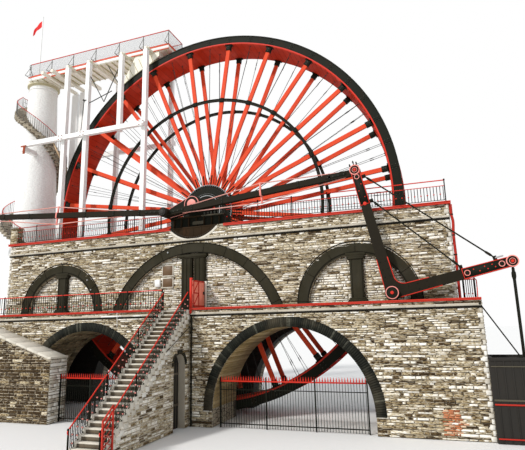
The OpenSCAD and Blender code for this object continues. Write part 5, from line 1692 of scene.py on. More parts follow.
class WW_OT_stair(bpy.types.Operator):
    """Front stair: pale treads, risers dark with painted shade, scrolled railings with red bosses and thin handrails
    """
    bl_idname = "waterwheel.stair"
    bl_label = "Front stair"

    def execute(self, context):
        step = np.arange(STAIR_N)
        front = TIER_Y - (step + 1) * TREAD_RUN
        top = STAIR_HIGH[2] - step * RISER
        x0, x1 = STAIR_LOW[0], STAIR_HIGH[0]
        treads = boxes(rows_at(x0 + 0.16, front - 0.022, top - 0.045),
                       rows_at(x1 - 0.16, front + TREAD_RUN, top + 0.008))
        add_piece("stair_treads", [treads], "pale_coping", bevel=0.008)
        # the risers are darkened as painted shade under the tread nosings
        risers = boxes(rows_at(x0 + 0.17, front - 0.004, top - RISER),
                       rows_at(x1 - 0.17, front + 0.01, top - 0.045))
        add_piece("stair_risers", [risers], "dark_stone")
        edge = []
        for x in (x0, x1 - 0.15):
            edge.append(boxes(rows_at(x - 0.01, front - 0.012, np.maximum(top - RISER - 0.02, 0.0)),
                              rows_at(x + 0.16, front + TREAD_RUN + 0.012, top + 0.02)))
        add_piece("stair_strings", edge, "pale_coping", bevel=0.006)
        nosing = lambda d: STAIR_HIGH[2] - d * RISER / TREAD_RUN
        d1 = STAIR_N * TREAD_RUN - 0.12
        rails, irons, bosses = [], [], []
        for x in (x0 + 0.05, x1 - 0.05):
            a = np.array([x, TIER_Y - 0.06, nosing(0.06)])
            b = np.array([x, TIER_Y - d1, nosing(d1)])
            made = rail_parts(a, b, 0.95, 0.115, 2.4, 0, 0.08, 0.30, 3)
            rails += made[0]
            irons += made[1] + scroll_parts(a, b, 0.95, 26)
            bosses += made[2]
            bosses += rail_parts(a, b, 0.95, 0.115, 2.4, 0, 0.08, 0.62, 3)[2]
            foot = b + Z_AXIS * 0.95
            end = smooth_path(foot + np.array([[0, 0.12, 0.09], [0, 0, 0], [0, -0.03, -0.10],
                                               [0, 0.05, -0.17]]), 10)
            rails.append(tube(end, 0.024, 8))
        add_piece("stair_handrails", rails, "bright_red", smooth=40)
        add_piece("stair_bars", irons, "black_iron", smooth=40, replaces=("stair_railings",))
        add_piece("stair_bosses", bosses, "pale_red", smooth=40)
        foot_y = TIER_Y - d1
        frame_x, z1 = x1 + 0.03, 1.45
        panel = [boxes([frame_x, foot_y - 0.03, 0.0], [frame_x + 0.05, foot_y + 0.03, z1]),
                 boxes([frame_x, foot_y + 0.55, 0.0], [frame_x + 0.05, foot_y + 0.61, z1 + 0.45]),
                 bars([frame_x + 0.025, foot_y, z1 - 0.02], [frame_x + 0.025, foot_y + 0.58, z1 + 0.43],
                      0.05, 0.05),
                 bars([frame_x + 0.025, foot_y, 0.15], [frame_x + 0.025, foot_y + 0.58, 0.15], 0.05, 0.05)]
        for k in range(5):
            for z0, z1 in ((0.2 + 0.25 * k, 0.55 + 0.3 * k), (0.5 + 0.23 * k, 0.2 + 0.3 * k)):
                panel.append(bars([frame_x + 0.025, foot_y, z0], [frame_x + 0.025, foot_y + 0.58, z1],
                                  0.028, 0.02))
        add_piece("stair_foot_panel", panel, "red_band")
        return {"FINISHED"}


# Tower and trough
def tower_radius(z):
    """The tapered shaft's radius at a height."""
    return TOWER_R0 + (TOWER_R1 - TOWER_R0) * np.asarray(z, float) / TOWER_H


def helix(turns_from, turns_to, radius_past, z_of, count):
    """Points round the tower: radius = the shaft's radius at that height + a distance, angle and height
    both linear in the number of the tread."""
    i = np.linspace(turns_from, turns_to, count)
    z = z_of(i)
    angle = np.radians(WIND_START + WIND_STEP * i)
    r = tower_radius(z) + radius_past
    return np.c_[TOWER[0] + r * np.cos(angle), TOWER[1] + r * np.sin(angle), z]


WIND_START, WIND_STEP = 300.0, -9.2
WIND_N = 52
WIND_RISE = (box_of("tower_stair")[1][2] - DECK_Z) / WIND_N


class WW_OT_tower(bpy.types.Operator):
    """Tower: stone treads with a rough underside, helical railing, landing, and a moulded cornice"""
    bl_idname = "waterwheel.tower"
    bl_label = "Tower"

    def execute(self, context):
        tread_w, rail_off = 0.72, 0.72 - 0.045
        i = np.arange(WIND_N)
        angle = np.radians(WIND_START + WIND_STEP * i)
        out = np.c_[np.cos(angle), np.sin(angle), 0 * angle]
        along = np.c_[-np.sin(angle), np.cos(angle), 0 * angle]
        base = DECK_Z + i * WIND_RISE
        r = tower_radius(base)
        centre = np.c_[TOWER[0], TOWER[1], 0] + out * (r + tread_w / 2 + 0.01)[:, None]
        top = centre + Z_AXIS * (base + WIND_RISE)[:, None]
        treads = blocks(top - Z_AXIS * 0.02, out * (tread_w / 2 + 0.02), along * 0.20, Z_AXIS * 0.026)
        add_piece("tower_treads", [treads], "tread_stone", bevel=0.008)
        rng = np.random.default_rng(8)
        under = []
        for row in range(3):
            jitter = rng.uniform(-0.02, 0.02, (WIND_N, 1))
            spot = centre + Z_AXIS * (base + WIND_RISE * 0.25)[:,
                                                               None] + out * ((row - 1) * tread_w / 3
                                                                              + jitter)
            under.append(blocks(spot + rng.normal(0, 0.008, spot.shape), out * (tread_w / 6.3),
                                along * 0.185,
                                np.broadcast_to(Z_AXIS * WIND_RISE * 0.42, spot.shape)))
        add_piece("tower_stair_stones", under, "rubble_wall", bevel=0.012)
        level = lambda k: DECK_Z + (k + 1) * WIND_RISE
        rail = helix(0.0, WIND_N - 1.0, rail_off, lambda k: level(k) + 0.95, 160)
        low_rail = helix(0.0, WIND_N - 1.0, rail_off, lambda k: level(k) + 0.10, 160)
        add_piece("tower_rail", [tube(rail, 0.024, 8)], "bright_red", smooth=50)
        feet = helix(0.0, WIND_N - 1.0, rail_off, level, (WIND_N - 1) * 2 + 1)
        irons = [rods(feet, feet + Z_AXIS * 0.95, 0.011, 5), rods(feet[::6], feet[::6] + Z_AXIS * 0.97,
                                                                  0.020, 6), tube(low_rail, 0.012, 6)]
        # the landing at the head of the stair
        end = WIND_N - 0.5
        a_end = np.radians(WIND_START + WIND_STEP * end)
        z_end = DECK_Z + WIND_N * WIND_RISE
        r_in, r_out = float(tower_radius(z_end)) - 0.02, float(tower_radius(z_end)) + tread_w + 0.02
        t = a_end - np.linspace(0.0, 0.62, 8)
        ring = np.c_[np.cos(t), np.sin(t), 0 * t]
        path = np.array([TOWER[0], TOWER[1], 0.0]) + 0 * ring
        slab = carried(path, [[r_in, z_end - 0.14], [r_in, z_end], [r_out, z_end], [r_out, z_end - 0.14]],
                       ring, Z_AXIS)
        add_piece("tower_landing", [slab], "tread_stone", bevel=0.01)
        guard = np.array([TOWER[0], TOWER[1], z_end]) + ring * (r_out - 0.05)
        last = guard[-1:] - unit(guard[-1:] - np.array([TOWER[0], TOWER[1], z_end])) * (r_out - r_in - 0.03)
        path = np.vstack([guard, last])
        landing_rail = [tube(path + Z_AXIS * 0.95, 0.024, 8)]
        landing_irons = [rods(path, path + Z_AXIS * 0.95, 0.018, 6), tube(path + Z_AXIS * 0.32, 0.013, 6),
                         tube(path + Z_AXIS * 0.64, 0.013, 6)]
        add_piece("landing_rail", landing_rail, "pale_red", smooth=50)
        add_piece("tower_bars", irons + landing_irons, "rail_grey", smooth=50,
                  replaces=("tower_stair_railing",))
        cap_r = (CAP_HIGH[0] - CAP_LOW[0]) / 2
        z0 = CAP_LOW[2]
        spot = np.array([TOWER[0], TOWER[1], 0.0])
        moulds = [[TOWER_R1 + 0.01, z0 - 0.26], [TOWER_R1 + 0.055, z0 - 0.24],
                  [TOWER_R1 + 0.055, z0 - 0.19], [TOWER_R1 + 0.02, z0 - 0.17]]
        add_piece("tower_collar", [lathes(spot, Z_AXIS, moulds, 72)], "white_render", smooth=40)
        line = [[cap_r - 0.10, z0 + 0.02], [cap_r + 0.004, z0 + 0.10], [cap_r + 0.004, z0 + 0.135],
                [cap_r - 0.02, z0 + 0.14]]
        add_piece("cap_shadow_line", [lathes(spot, Z_AXIS, line, 72)], "olive_edge", smooth=40)
        return {"FINISHED"}


class WW_OT_trough(bpy.types.Operator):
    """Trough and platform: meshed railing with raking braces, red edge lines, cream boards and ribs below"""
    bl_idname = "waterwheel.trough"
    bl_label = "Trough and platform"

    def execute(self, context):
        deck = TROUGH_HIGH[2]
        y0, y1 = TROUGH_Y0 + 0.03, TROUGH_Y1 - 0.03
        x0, x1 = TROUGH_LOW[0] + 0.12, TROUGH_HIGH[0] - 0.03
        tall = box_of("trough_railing")[1][2] - deck
        corner = np.array([[x0, y0, deck], [x1, y0, deck], [x1, y1, deck], [x0, y1, deck]])
        rails, irons, wires = [], [], []
        for a, b, posts in ((corner[0], corner[1], 6), (corner[1], corner[2], 1),
                            (corner[2], corner[3], 6)):
            rails.append(rods(a + Z_AXIS * tall, b + Z_AXIS * tall, 0.028, 8))
            rails.append(rods(a + Z_AXIS * 0.09, b + Z_AXIS * 0.09, 0.016, 6))
            length = np.linalg.norm(b - a)
            count = int(length / 0.055)
            at = a + (b - a) * ((np.arange(count) + 0.5) / count)[:, None]
            wires.append(bars(at + Z_AXIS * 0.10, at + Z_AXIS * (tall - 0.03), 0.006, 0.006))
            rows = np.arange(14) / 13 * (tall - 0.16) + 0.11
            wires.append(bars(a + Z_AXIS * rows[:, None], b + Z_AXIS * rows[:, None], 0.006, 0.006))
            stand = a + (b - a) * (np.arange(posts + 1) / posts)[:, None]
            irons.append(rods(stand, stand + Z_AXIS * tall, 0.024, 8))
            if posts > 1:
                side = -1.0 if a[1] < TROUGH_Y0 + 0.5 else 1.0
                foot = stand + np.array([0, side * 0.48, -0.03])
                irons.append(bars(stand + Z_AXIS * -0.03, foot, 0.045, 0.03))
                irons.append(rods(foot, stand + Z_AXIS * tall * 0.86, 0.015, 6))
                irons.append(rods(foot + np.array([0, side * -0.17, 0]), stand + Z_AXIS * tall * 0.30,
                                  0.011, 6))
        bend = corner[0] + np.array([[0, 0, tall], [-0.16, 0.03, tall - 0.06], [-0.25, 0.22, tall - 0.30],
                                     [-0.25, 0.45, tall - 0.62], [-0.22, 0.60, 0.02]])
        irons.append(tube(smooth_path(bend, 20), 0.022, 8))
        for k in range(5):
            foot = corner[0] + np.array([-0.22, 0.10 + 0.11 * k, 0.0])
            irons.append(rods(foot, foot + Z_AXIS * (tall - 0.16 - 0.16 * k), 0.012, 6))
        add_piece("platform_rails", rails, "bright_red", smooth=40)
        add_piece("platform_irons", irons, "rail_grey", smooth=40, replaces=("trough_railing",))
        add_piece("platform_mesh", wires, "wire_grey")
        bx0, bx1 = TROUGH_LOW[0], TROUGH_HIGH[0]
        red = [boxes([bx0 - 0.02, TROUGH_Y0 - 0.035, deck - 0.05], [bx1 + 0.02, TROUGH_Y0 + 0.01,
                                                                    deck + 0.025]),
               boxes([bx0 - 0.02, TROUGH_Y1 - 0.01, deck - 0.05], [bx1 + 0.02, TROUGH_Y1 + 0.035,
                                                                   deck + 0.025]),
               boxes([bx0 + 1.4, TROUGH_Y0 - 0.02, TROUGH_Z0 - 0.03],
                     [POST_X[1] - 0.14, TROUGH_Y0 + 0.06, TROUGH_Z0 + 0.02]),
               boxes([MID_POST_X + 0.3, TROUGH_Y0 - 0.02, TROUGH_Z0 - 0.02],
                     [bx1 + 0.02, TROUGH_Y0 + 0.03, TROUGH_Z0 + 0.03]),
               boxes([bx1 - 0.02, TROUGH_Y0 + 0.03, deck - 0.10], [bx1 + 0.03, TROUGH_Y1 - 0.03, deck])]
        add_piece("platform_red_lines", red, "edge_orange", bevel=0.004)
        fascia = [boxes([bx0 - 0.01, TROUGH_Y0 - 0.018, TROUGH_Z0 + 0.03],
                        [bx1 + 0.01, TROUGH_Y0 + 0.002, deck - 0.055]),
                  boxes([bx0 - 0.01, TROUGH_Y1 - 0.002, TROUGH_Z0 + 0.03],
                        [bx1 + 0.01, TROUGH_Y1 + 0.018, deck - 0.055])]
        add_piece("platform_fascia", fascia, "white_iron", bevel=0.004)
        x = np.arange(bx0 + 0.25, bx1 - 0.1, 0.46)
        ribs = [boxes(rows_at(x, TROUGH_Y0 + 0.02, TROUGH_Z0 - 0.075),
                      rows_at(x + 0.055, TROUGH_Y1 - 0.02, TROUGH_Z0 + 0.002))]
        add_piece("trough_ribs", ribs, "olive_edge", bevel=0.004)
        floor_y = np.arange(TROUGH_Y0 + 0.48, TROUGH_Y1 - 0.5, 0.145)
        planks = boxes(rows_at(TOWER[0] + 1.25, floor_y, TROUGH_Z0 + 0.055),
                       rows_at(bx1 - 0.1, floor_y + 0.135, TROUGH_Z0 + 0.085))
        add_piece("trough_planks", [planks], "cream_wood", bevel=0.004)
        a_low, a_high = box_of("trough_apron")
        rim = WHEEL_R + 0.09
        t0 = math.acos(max(-1.0, a_low[0] / rim))
        t1 = math.acos(a_high[0] / rim)
        seams = []
        for t in np.linspace(t0 - 0.03, t1 + 0.04, 7):
            spot = np.array([rim * math.cos(t), 0, AXLE_Z + rim * math.sin(t)])
            way = np.array([math.cos(t), 0, math.sin(t)])
            length = min(0.9, (TROUGH_Z0 - spot[2]) / way[2] - 0.03)
            if length > 0.06:
                for y, side in ((WHEEL_FRONT + 0.06, -1), (WHEEL_BACK - 0.06, 1)):
                    root = spot + Y_AXIS * (y + 0.008 * side)
                    seams.append(bars(root + way * 0.012, root + way * length, 0.03, 0.02, Y_AXIS))
        seams.append(arc_band(0, AXLE_Z, rim, rim + 0.035, WHEEL_FRONT + 0.035, WHEEL_FRONT + 0.07,
                              t1 + 0.01,
                              t0 - 0.01, 40))
        add_piece("apron_ribs", seams, "olive_edge")
        hooks = []
        for x in (POST_X[0], POST_X[1], POST_X[2], MID_POST_X):
            hooks.append(boxes([x - 0.16, TROUGH_Y0 - 0.52, TROUGH_Z0 - 0.20],
                               [x + 0.16, TROUGH_Y0 - 0.02, TROUGH_Z0 - 0.002]))
            hooks.append(boxes([x - 0.20, TROUGH_Y0 - 0.58, TROUGH_Z0 - 0.06],
                               [x + 0.20, TROUGH_Y0 - 0.50, TROUGH_Z0 + 0.05]))
        add_piece("post_heads", hooks, "cap_cream", bevel=0.015)
        return {"FINISHED"}


class WW_OT_white_frame(bpy.types.Operator):
    """White frame: plates and bolts at its joints, the tan strut, the rusty bracket and the far struts"""
    bl_idname = "waterwheel.white_frame"
    bl_label = "White frame"

    def execute(self, context):
        y = BEAM_LOW[1]
        bolts, plates = [], []
        beam_z = BEAM_HIGH[2]
        for x in POST_X:
            front = POST_Y[0] - POST_HALF
            plates.append(boxes([x - 0.19, y - 0.02, beam_z - 0.36], [x + 0.19, y + 0.005, beam_z + 0.04]))
            for dx in (-0.12, 0.12):
                for dz in (-0.28, -0.04):
                    bolts.append(nuts([x + dx, y - 0.02, beam_z + dz], -Y_AXIS, 0.032, 0.03))
            plates.append(boxes([x - POST_HALF - 0.07, front - 0.07, DECK_Z],
                                [x + POST_HALF + 0.07, POST_Y[0] + POST_HALF + 0.07, DECK_Z + 0.05]))
            plates.append(boxes([x - POST_HALF - 0.02, front - 0.02, DECK_Z + 0.05],
                                [x + POST_HALF + 0.02, POST_Y[0] + POST_HALF + 0.02, DECK_Z + 0.30]))
        add_piece("frame_plates", plates, "white_iron", bevel=0.006)
        add_piece("frame_bolts", bolts, "rusty")
        left = BEAM_LOW[0]
        rust = [boxes([left + 0.05, y - 0.02, beam_z - 0.34], [left + 0.52, y + 0.03, beam_z - 0.24]),
                boxes([left + 0.26, y - 0.03, beam_z - 0.84], [left + 0.44, y + 0.02, beam_z - 0.33])]
        add_piece("rusty_bracket", rust, "rusty", bevel=0.006)
        strut = [bars([left + 2.60, POST_Y[0] - 0.12, beam_z - 0.32], [POST_X[2] - 0.14, POST_Y[0], 15.55],
                      0.07, 0.07),
                 bars([POST_X[2], POST_Y[0], 15.52], [POST_X[2] - 0.16, POST_Y[0], 15.64], 0.12, 0.12)]
        add_piece("tan_strut", strut, "tan_iron")
        link = [rods([FAR_POST_X, 3.68, 12.6], [POST_X[2], POST_Y[0] + 0.13, 13.0], 0.035, 8)]
        add_piece("white_link", link, "white_iron", smooth=40)
        return {"FINISHED"}


class WW_OT_flag(bpy.types.Operator):
    """Flagpole's cap and foot, and a small plain red flag that droops from it"""
    bl_idname = "waterwheel.flag"
    bl_label = "Flag"

    def execute(self, context):
        low, high = box_of("flagpole")
        x, y, top = (low[0] + high[0]) / 2, (low[1] + high[1]) / 2, high[2]
        pole_r = (high[0] - low[0]) / 2
        fit = [lathes([x, y, top - 0.10], Z_AXIS, [[pole_r + 0.006, 0.0], [pole_r + 0.012, 0.03],
                                                   [pole_r + 0.012, 0.07],
                                                  [0.03, 0.09], [0.01, 0.097]], 16),
               lathes([x, y, low[2]], Z_AXIS, [[0.13, 0.0], [0.13, 0.03], [0.07, 0.06], [0.06, 0.22]], 16)]
        add_piece("flagpole_fittings", fit, "white_iron", smooth=40)
        # u runs along the fly and v up the hoist; the cloth leaves the pole level, bends down by its own
        # weight, and ripples square to its plane; it is drawn out by arc length, so its size stays true
        fly, hoist = 0.98, 0.52
        cols, rows = 45, 23
        u = np.linspace(0, 1, cols)
        v = np.linspace(0, 1, rows)
        lean = np.radians(18 + 34 * u ** 0.8)
        slant = (lean[1:] + lean[:-1]) / 2
        along_x = -np.concatenate([[0], np.cumsum(np.cos(slant))]) * fly / (cols - 1)
        along_z = -np.concatenate([[0], np.cumsum(np.sin(slant))]) * fly / (cols - 1)
        grid_u, grid_v = np.meshgrid(u, v, indexing="ij")
        ripple = 0.045 * grid_u ** 0.7 * np.sin(9.5 * grid_u + 2.2 * grid_v) * (1 - 0.35 * grid_v)
        across = x - pole_r - 0.012 + along_x[:, None] + 0.16 * grid_u * (grid_v - 0.5) * hoist
        height = top - 0.34 - hoist + grid_v * hoist * (1 - 0.05 * grid_u) + along_z[:, None]
        co = np.stack([across, y + ripple, height], axis=-1)
        index = np.arange(cols * rows).reshape(cols, rows)
        quads = np.stack([index[:-1, :-1], index[1:, :-1], index[1:, 1:], index[:-1, 1:]],
                         axis=-1).reshape(-1, 4)
        mesh = write_mesh("flag", [(co.reshape(-1, 3), [quads])])
        mesh.shade_smooth()
        flag = bpy.data.objects.new("flag", mesh)
        bpy.context.scene.collection.objects.link(flag)
        mesh.materials.append(FINISHES["flag_cloth"])
        wall = flag.modifiers.new("cloth", "SOLIDIFY")
        wall.thickness, wall.offset = 0.003, 0.0
        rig.ride(flag, "structure")
        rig.slot(flag, "red_paint")
        edges = np.linalg.norm(np.cross(co[1:, :-1] - co[:-1, :-1], co[:-1, 1:] - co[:-1, :-1]), axis=-1)
        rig.sheet(flag, flat=(fly * 1.01, hoist), held="hung", rests_on=["flagpole"],
                 area=float(edges.sum()))
        return {"FINISHED"}


# Fittings of the house
def prism(section, y0, y1):
    """A closed section of plane points (x, z) carried straight from depth y0 to depth y1."""
    return carried([[0, y0, 0], [0, y1, 0]], section, X_AXIS, Z_AXIS)


class WW_OT_bearing_housing(bpy.types.Operator):
    """Hang the black iron housing in the pocket under the axle, with its flange, webs and plates"""
    bl_idname = "waterwheel.bearing_housing"
    bl_label = "Bearing housing"

    def execute(self, context):
        face = WALL_Y + 0.06
        back = WALL_Y + 0.395
        radius = POCKET_R - 0.05
        turn = np.linspace(math.radians(222), math.radians(318), 40)
        bowl = np.c_[radius * np.cos(turn), AXLE_Z + radius * np.sin(turn)]
        iron = [prism(bowl, face, back)]
        iron.append(arc_band(0, AXLE_Z, radius - 0.09, radius, face - 0.03, face + 0.01, turn[0], turn[-1],
                             40))
        top = bowl[:, 1].max()
        low, high = box_of("front_bearing")
        front = low[1]
        iron.append(boxes([low[0] + 0.02, face - 0.02, top - 0.05], [high[0] - 0.02, front + 0.01,
                                                                     top + 0.03]))
        for x in np.linspace(low[0] + 0.25, high[0] - 0.25, 7):
            iron.append(boxes([x - 0.03, front - 0.10, DECK_Z + 0.02],
                              [x + 0.03, front + 0.01, DECK_Z + 0.58]))
            if abs(x) < 1.2:
                reach = AXLE_Z - math.sqrt((radius - 0.1) ** 2 - x * x)
                iron.append(boxes([x - 0.02, face - 0.02, reach + 0.02],
                                  [x + 0.02, face + 0.01, top - 0.05]))
        iron.append(boxes([low[0], front - 0.11, DECK_Z + 0.60], [0.30, front + 0.01, DECK_Z + 0.685]))
        add_piece("bearing_housing", iron, "housing_brown", bevel=0.008)
        pale = [boxes([0.32, front - 0.12, DECK_Z + 0.615], [high[0], front + 0.01, DECK_Z + 0.685]),
                boxes([-0.20, front - 0.13, DECK_Z + 0.17], [0.45, front - 0.09, DECK_Z + 0.36])]
        add_piece("bearing_pale_plates", pale, "dim_plate", bevel=0.006)
        flange = np.linspace(turn[1], turn[-2], 22)
        centre = rows_at((radius - 0.045) * np.cos(flange), face - 0.03,
                         AXLE_Z + (radius - 0.045) * np.sin(flange))
        heads = [nuts(centre, -Y_AXIS, 0.026, 0.02)]
        x = np.linspace(0.5, high[0] - 0.12, 6)
        on_top = rows_at(x, front - 0.05, DECK_Z + 0.685)
        heads.append(lathes(on_top, Z_AXIS, [[0.035, 0.0], [0.035, 0.05], [0.06, 0.07], [0.06, 0.13],
                                             [0.02, 0.16]], 8))
        add_piece("bearing_nuts", heads, "grey_iron", smooth=40)
        return {"FINISHED"}


class WW_OT_columns(bpy.types.Operator):
    """Mould the heads, feet and fillets of the iron columns, and the edges of the blind arches"""
    bl_idname = "waterwheel.columns"
    bl_label = "Columns and arch edges"

    def execute(self, context):
        front = WALL_Y - 0.02
        back = WALL_Y + BLIND_D
        side_top = FLOOR_Z + BLIND_R
        iron = []
        half = 0.30
        for x in (-BLIND_X, BLIND_X):
            for base, reach, z0, z1 in (
                    (FLOOR_Z, 0.17, 0.0, 0.10), (FLOOR_Z, 0.13, 0.10, 0.18), (FLOOR_Z, 0.07, 0.18, 0.25),
                    (side_top, 0.17, -0.16, -0.02), (side_top, 0.12, -0.24, -0.16),
                                        (side_top, 0.06, -0.32, -0.24)):
                iron.append(boxes([x - half - reach, front - 0.05, base + z0],
                                  [x + half + reach, back, base + z1]))
            for dx in (-0.24, 0.24):
                iron.append(boxes([x + dx - 0.02, front - 0.02, FLOOR_Z + 0.25],
                                  [x + dx + 0.02, back, side_top - 0.32]))
        top = box_of("upper_columns")[1][2]
        for x in (-0.38, 0.38):
            for dx in (-0.22, 0.0, 0.22):
                iron.append(boxes([x + dx - 0.018, front - 0.02, FLOOR_Z + 0.16],
                                  [x + dx + 0.018, back, top - 0.20]))
            iron.append(boxes([x - 0.33, front - 0.05, FLOOR_Z], [x + 0.33, back, FLOOR_Z + 0.16]))
        iron.append(boxes([-0.84, front - 0.06, top - 0.16], [0.84, back, top - 0.03]))
        iron.append(boxes([-0.77, front - 0.03, top - 0.22], [0.77, back, top - 0.16]))
        add_piece("column_mouldings", iron, "arch_iron", bevel=0.006)
        face = box_of("upper_arch_rings")[0][1]
        edges, joints = [], []
        for cx, cz, radius in ((-BLIND_X, FLOOR_Z, BLIND_R), (BLIND_X, FLOOR_Z, BLIND_R),
                               (0.0, MID_BLIND_Z, MID_BLIND_R)):
            rim = radius + UPPER_RING_W
            start = math.asin(max(0.0, (FLOOR_Z - cz) / rim)) + 0.03
            for r0, r1 in ((radius - 0.010, radius + 0.030), (rim - 0.030, rim + 0.010)):
                edges.append(arc_band(cx, cz, r0, r1, face - 0.022, face + 0.02, start, math.pi - start,
                                      64))
            count = int(rim * (math.pi - 2 * start) / 1.25)
            at = np.linspace(start + 0.04, math.pi - start - 0.04, count)
            out, over = rim_frame(at)
            middle = np.array([cx, face - 0.006, cz]) + out * (radius + rim) / 2
            joints.append(blocks(middle, out * (UPPER_RING_W / 2 - 0.03), over * 0.014,
                                 np.array([0, -0.010, 0])))
            for k in (-0.16, 0.0, 0.16):
                joints.append(studs(middle + out * k - Y_AXIS * 0.012, -Y_AXIS, 0.022, 0.018, 6))
        add_piece("arch_edges", edges, "arch_edge", smooth=30)
        add_piece("arch_joints", joints, "arch_iron", slot="slate")
        x = np.array([-6.55, -6.83, -1.5, 9.9, 10.6])
        z = np.array([6.82, 7.40, 8.62, 7.62, 6.9])
        white = [lathes(rows_at(x, face - 0.01, z), -Y_AXIS, [[0.045, 0.0], [0.045, 0.05], [0.02, 0.07]],
                        8)]
        add_piece("arch_lamps", white, "wire_grey", slot="white_iron", smooth=40)
        return {"FINISHED"}


class WW_OT_soffits(bpy.types.Operator):
    """Line the soffits of the two front arches: long boards on the right, rough stones on the left"""
    bl_idname = "waterwheel.soffits"
    bl_label = "Arch soffits"

    def execute(self, context):
        rng = np.random.default_rng(61)
        front, back = TIER_Y + 0.06, WALL_HIGH[1] - 0.02
        count = 74
        edge = np.linspace(0.02, math.pi - 0.02, count + 1)
        middle = (edge[:-1] + edge[1:]) / 2
        reach = (edge[1:] - edge[:-1]) / 2 * ARCH_R
        out, over = rim_frame(middle)
        thick = rng.uniform(0.006, 0.014, count)[:, None]
        centre = np.array([ARCH_X, (front + back) / 2, ARCH_Z]) + out * (ARCH_R - thick / 2)
        boards = blocks(centre, over * (reach * 0.93)[:, None], Y_AXIS * (back - front) / 2,
                        out * (thick / 2 + 0.002))
        add_piece("soffit_boards", [boards], "soffit_beige",
                  shade=tones(rng, count, 0.5, 0.16, 0.05, 0.95))
        rows = 44
        cols = 5
        edge = np.linspace(0.02, math.pi - 0.02, rows + 1)
        across = np.linspace(front, back, cols + 1)
        a0, y0 = np.meshgrid(edge[:-1], across[:-1], indexing="ij")
        y0 = y0 + (np.arange(rows) % 2)[:, None] * 0.12 * (y0 > front + 0.01)
        a1 = a0 + edge[1] - edge[0] - 0.004
        y1 = np.minimum(np.roll(y0, -1, 1), back)
        y1[:, -1] = back
        y1 = y1 - 0.014
        a0, a1, y0, y1 = (v.ravel() for v in (a0, a1, y0, y1))
        deep = rng.uniform(0.010, 0.030, a0.size)
        a = np.stack([a0, a1, a1, a0] * 2, 1)
        y = np.stack([y0, y0, y1, y1] * 2, 1)
        r = np.concatenate([np.full((a0.size, 4), ARCH_R + 0.004),
                            np.repeat((ARCH_R - deep)[:, None], 4, 1)], 1)
        co = np.stack([-ARCH_X + r * np.cos(a), y, ARCH_Z + r * np.sin(a)], -1).reshape(-1, 3)
        quads = np.array([[3, 2, 1, 0], [4, 5, 6, 7], [0, 1, 5, 4], [1, 2, 6, 5], [2, 3, 7, 6],
                          [3, 0, 4, 7]])
        faces = (quads[None] + 8 * np.arange(a0.size)[:, None, None]).reshape(-1, 4)
        add_piece("soffit_stones", [(co, [faces])], "soffit_brown",
                  shade=tones(rng, a0.size, 0.5, 0.2, 0.05, 0.95))
        return {"FINISHED"}


class WW_OT_fences(bpy.types.Operator):
    """Fences before the two arches: black bars under a red rail with red spikes"""
    bl_idname = "waterwheel.fences"
    bl_label = "Pit fences"

    def execute(self, context):
        low, high = box_of("pit_fence")
        depth = (low[1] + high[1]) / 2
        tall = high[2]
        red, black = [], []
        for x0, x1, y, top in ((low[0] + 0.03, high[0] - 0.03, depth, tall),
                               (2.16, 9.04, TIER_Y + 0.20, 2.30)):
            count = int((x1 - x0) / 0.125)
            x = x0 + (x1 - x0) * (np.arange(count) + 0.5) / count
            foot = rows_at(x, y, 0.02)
            black.append(rods(foot, foot + Z_AXIS * (top - 0.24), 0.012, 5))
            black.append(bars([x0, y, 0.18], [x1, y, 0.18], 0.03, 0.045))
            black.append(bars([x0, y, top - 0.62], [x1, y, top - 0.62], 0.03, 0.035))
            posts = np.linspace(x0, x1, max(2, int((x1 - x0) / 1.9) + 1))
            stand = rows_at(posts, y, 0)
            black.append(bars(stand, stand + Z_AXIS * (top - 0.05), 0.055, 0.055))
            red.append(bars([x0, y, top - 0.24], [x1, y, top - 0.24], 0.045, 0.06))
            spike = [[0.016, 0.0], [0.030, 0.035], [0.030, 0.06], [0.004, 0.21]]
            red.append(lathes(foot + Z_AXIS * (top - 0.23), Z_AXIS, spike, 5))
        add_piece("fence_bars", black, "black_iron", replaces=("pit_fence",))
        add_piece("fence_spikes", red, "bright_red")
        return {"FINISHED"}


